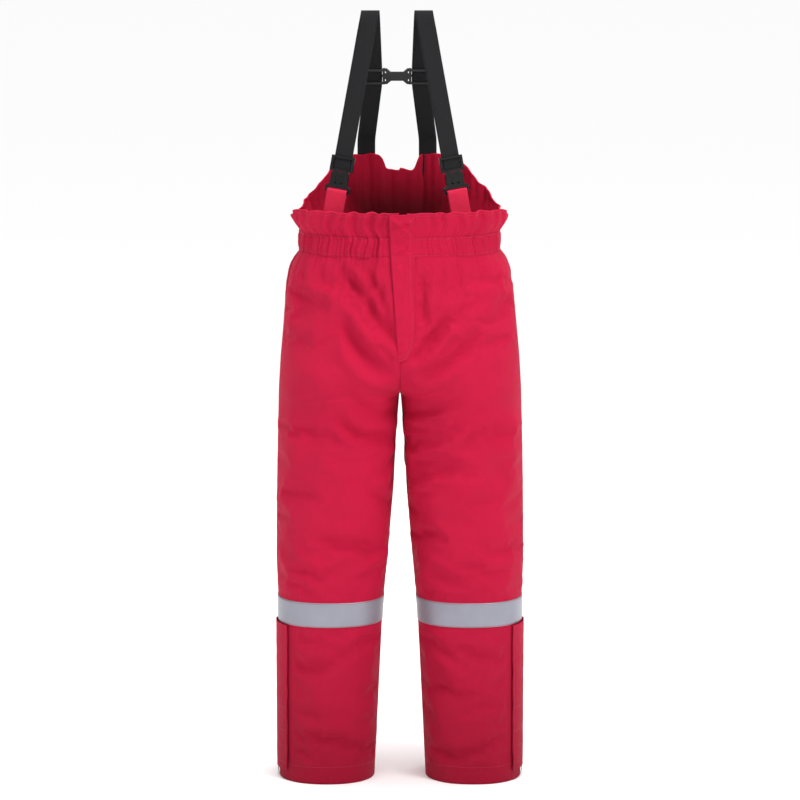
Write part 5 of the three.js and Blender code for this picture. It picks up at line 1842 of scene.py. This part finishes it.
# ---- studio ----------------------------------------------------------------------------------------
@dataclass(frozen=True)
class SoftLight:
    """One soft square light: its place, the point it faces, its edge in metres and its power in watts."""

    name: str
    place: tuple[float, float, float]
    aim: tuple[float, float, float]
    size: float
    watts: float

    def build(self) -> None:
        """Set the light up."""
        lamp = bpy.data.lights.new(self.name, "AREA")
        lamp.energy = self.watts
        lamp.size = self.size
        thing = bpy.data.objects.new(self.name, lamp)
        thing.location = self.place
        way = Vector(self.aim) - Vector(self.place)
        thing.rotation_euler = way.to_track_quat("-Z", "Y").to_euler()
        bpy.context.scene.collection.objects.link(thing)


@dataclass(frozen=True)
class Studio:
    """Pale floor, soft light and the camera."""

    distance: float = 9.0
    lift: float = math.radians(10.0)
    lens: float = 201.3
    target: tuple[float, float, float] = (0.0, 0.0, -0.787)
    floor_reach: float = 60.0
    overhead_strength: float = 2.25
    sky_strength: float = 0.32
    lamps: tuple[SoftLight, ...] = (
        SoftLight("key", (2.3, -2.2, 1.9), (0.0, 0.0, -0.45), 1.3, 86.0),
        SoftLight("fill", (-3.0, -2.4, 1.1), (0.0, 0.0, -0.5), 2.2, 25.0),
        SoftLight("top", (0.2, -0.9, 1.7), (0.0, 0.0, -0.4), 1.0, 16.0),
        SoftLight("back_left", (-2.2, 2.6, 1.5), (0.0, 0.0, -0.6), 1.6, 34.0),
        SoftLight("back_right", (2.2, 2.6, 1.5), (0.0, 0.0, -0.6), 1.6, 34.0))

    def build(self) -> None:
        """Build the stage, the lights and the camera."""
        self.floor()
        for lamp in self.lamps:
            lamp.build()
        self.overhead()
        world = bpy.data.worlds.new("studio")
        world.use_nodes = True
        background = world.node_tree.nodes["Background"]
        background.inputs["Color"].default_value = (1.0, 1.0, 1.0, 1.0)
        background.inputs["Strength"].default_value = self.sky_strength
        bpy.context.scene.world = world
        self.camera()

    def floor(self) -> None:
        """Wide flat floor."""
        level, reach = HEM_LEVEL - 0.0005, self.floor_reach
        points = [(x * reach, y * reach, level) for x, y in ((-1, -1), (1, -1), (1, 1), (-1, 1))]
        data = bpy.data.meshes.new("floor")
        data.from_pydata(points, [], [(0, 1, 2, 3)])
        paper = Shader("paper", Roughness=0.9, Base_Color=(0.96, 0.96, 0.96, 1.0))
        data.materials.append(paper.material)
        floor = bpy.data.objects.new("floor", data)
        bpy.context.scene.collection.objects.link(floor)

    def overhead(self) -> None:
        """Even light straight down, which keeps the floor pale out to its edge."""
        lamp = bpy.data.lights.new("overhead", "SUN")
        lamp.energy = self.overhead_strength
        lamp.angle = math.radians(40.0)
        bpy.context.scene.collection.objects.link(bpy.data.objects.new("overhead", lamp))

    def camera(self) -> None:
        """Camera in front, a little above the waist."""
        lens = bpy.data.cameras.new("camera")
        lens.lens = self.lens
        lens.sensor_width = 36.0
        lens.clip_end = 60.0
        thing = bpy.data.objects.new("camera", lens)
        target = Vector(self.target)
        back = Vector((0.0, -math.cos(self.lift), math.sin(self.lift)))
        thing.location = target + back * self.distance
        thing.rotation_euler = (target - thing.location).to_track_quat("-Z", "Y").to_euler()
        bpy.context.scene.collection.objects.link(thing)
        bpy.context.scene.camera = thing


def main() -> None:
    """Build the garment and the studio in order."""
    logging.basicConfig(level=logging.INFO, format="%(message)s")
    bpy.context.scene.view_settings.view_transform = "Standard"
    finishes = Finishes()
    shape = LegShape()
    shape.make()
    legs = Legs(finishes, shape)
    waist = Waist(finishes, shape)
    flaps = StormFlaps(finishes)
    for assembly in (legs, waist, flaps, Braces(finishes, waist), Fasteners(finishes),
                     Needlework(finishes, legs, waist, flaps)):
        assembly.build()
    Studio().build()


if __name__ == "__main__":
    main()
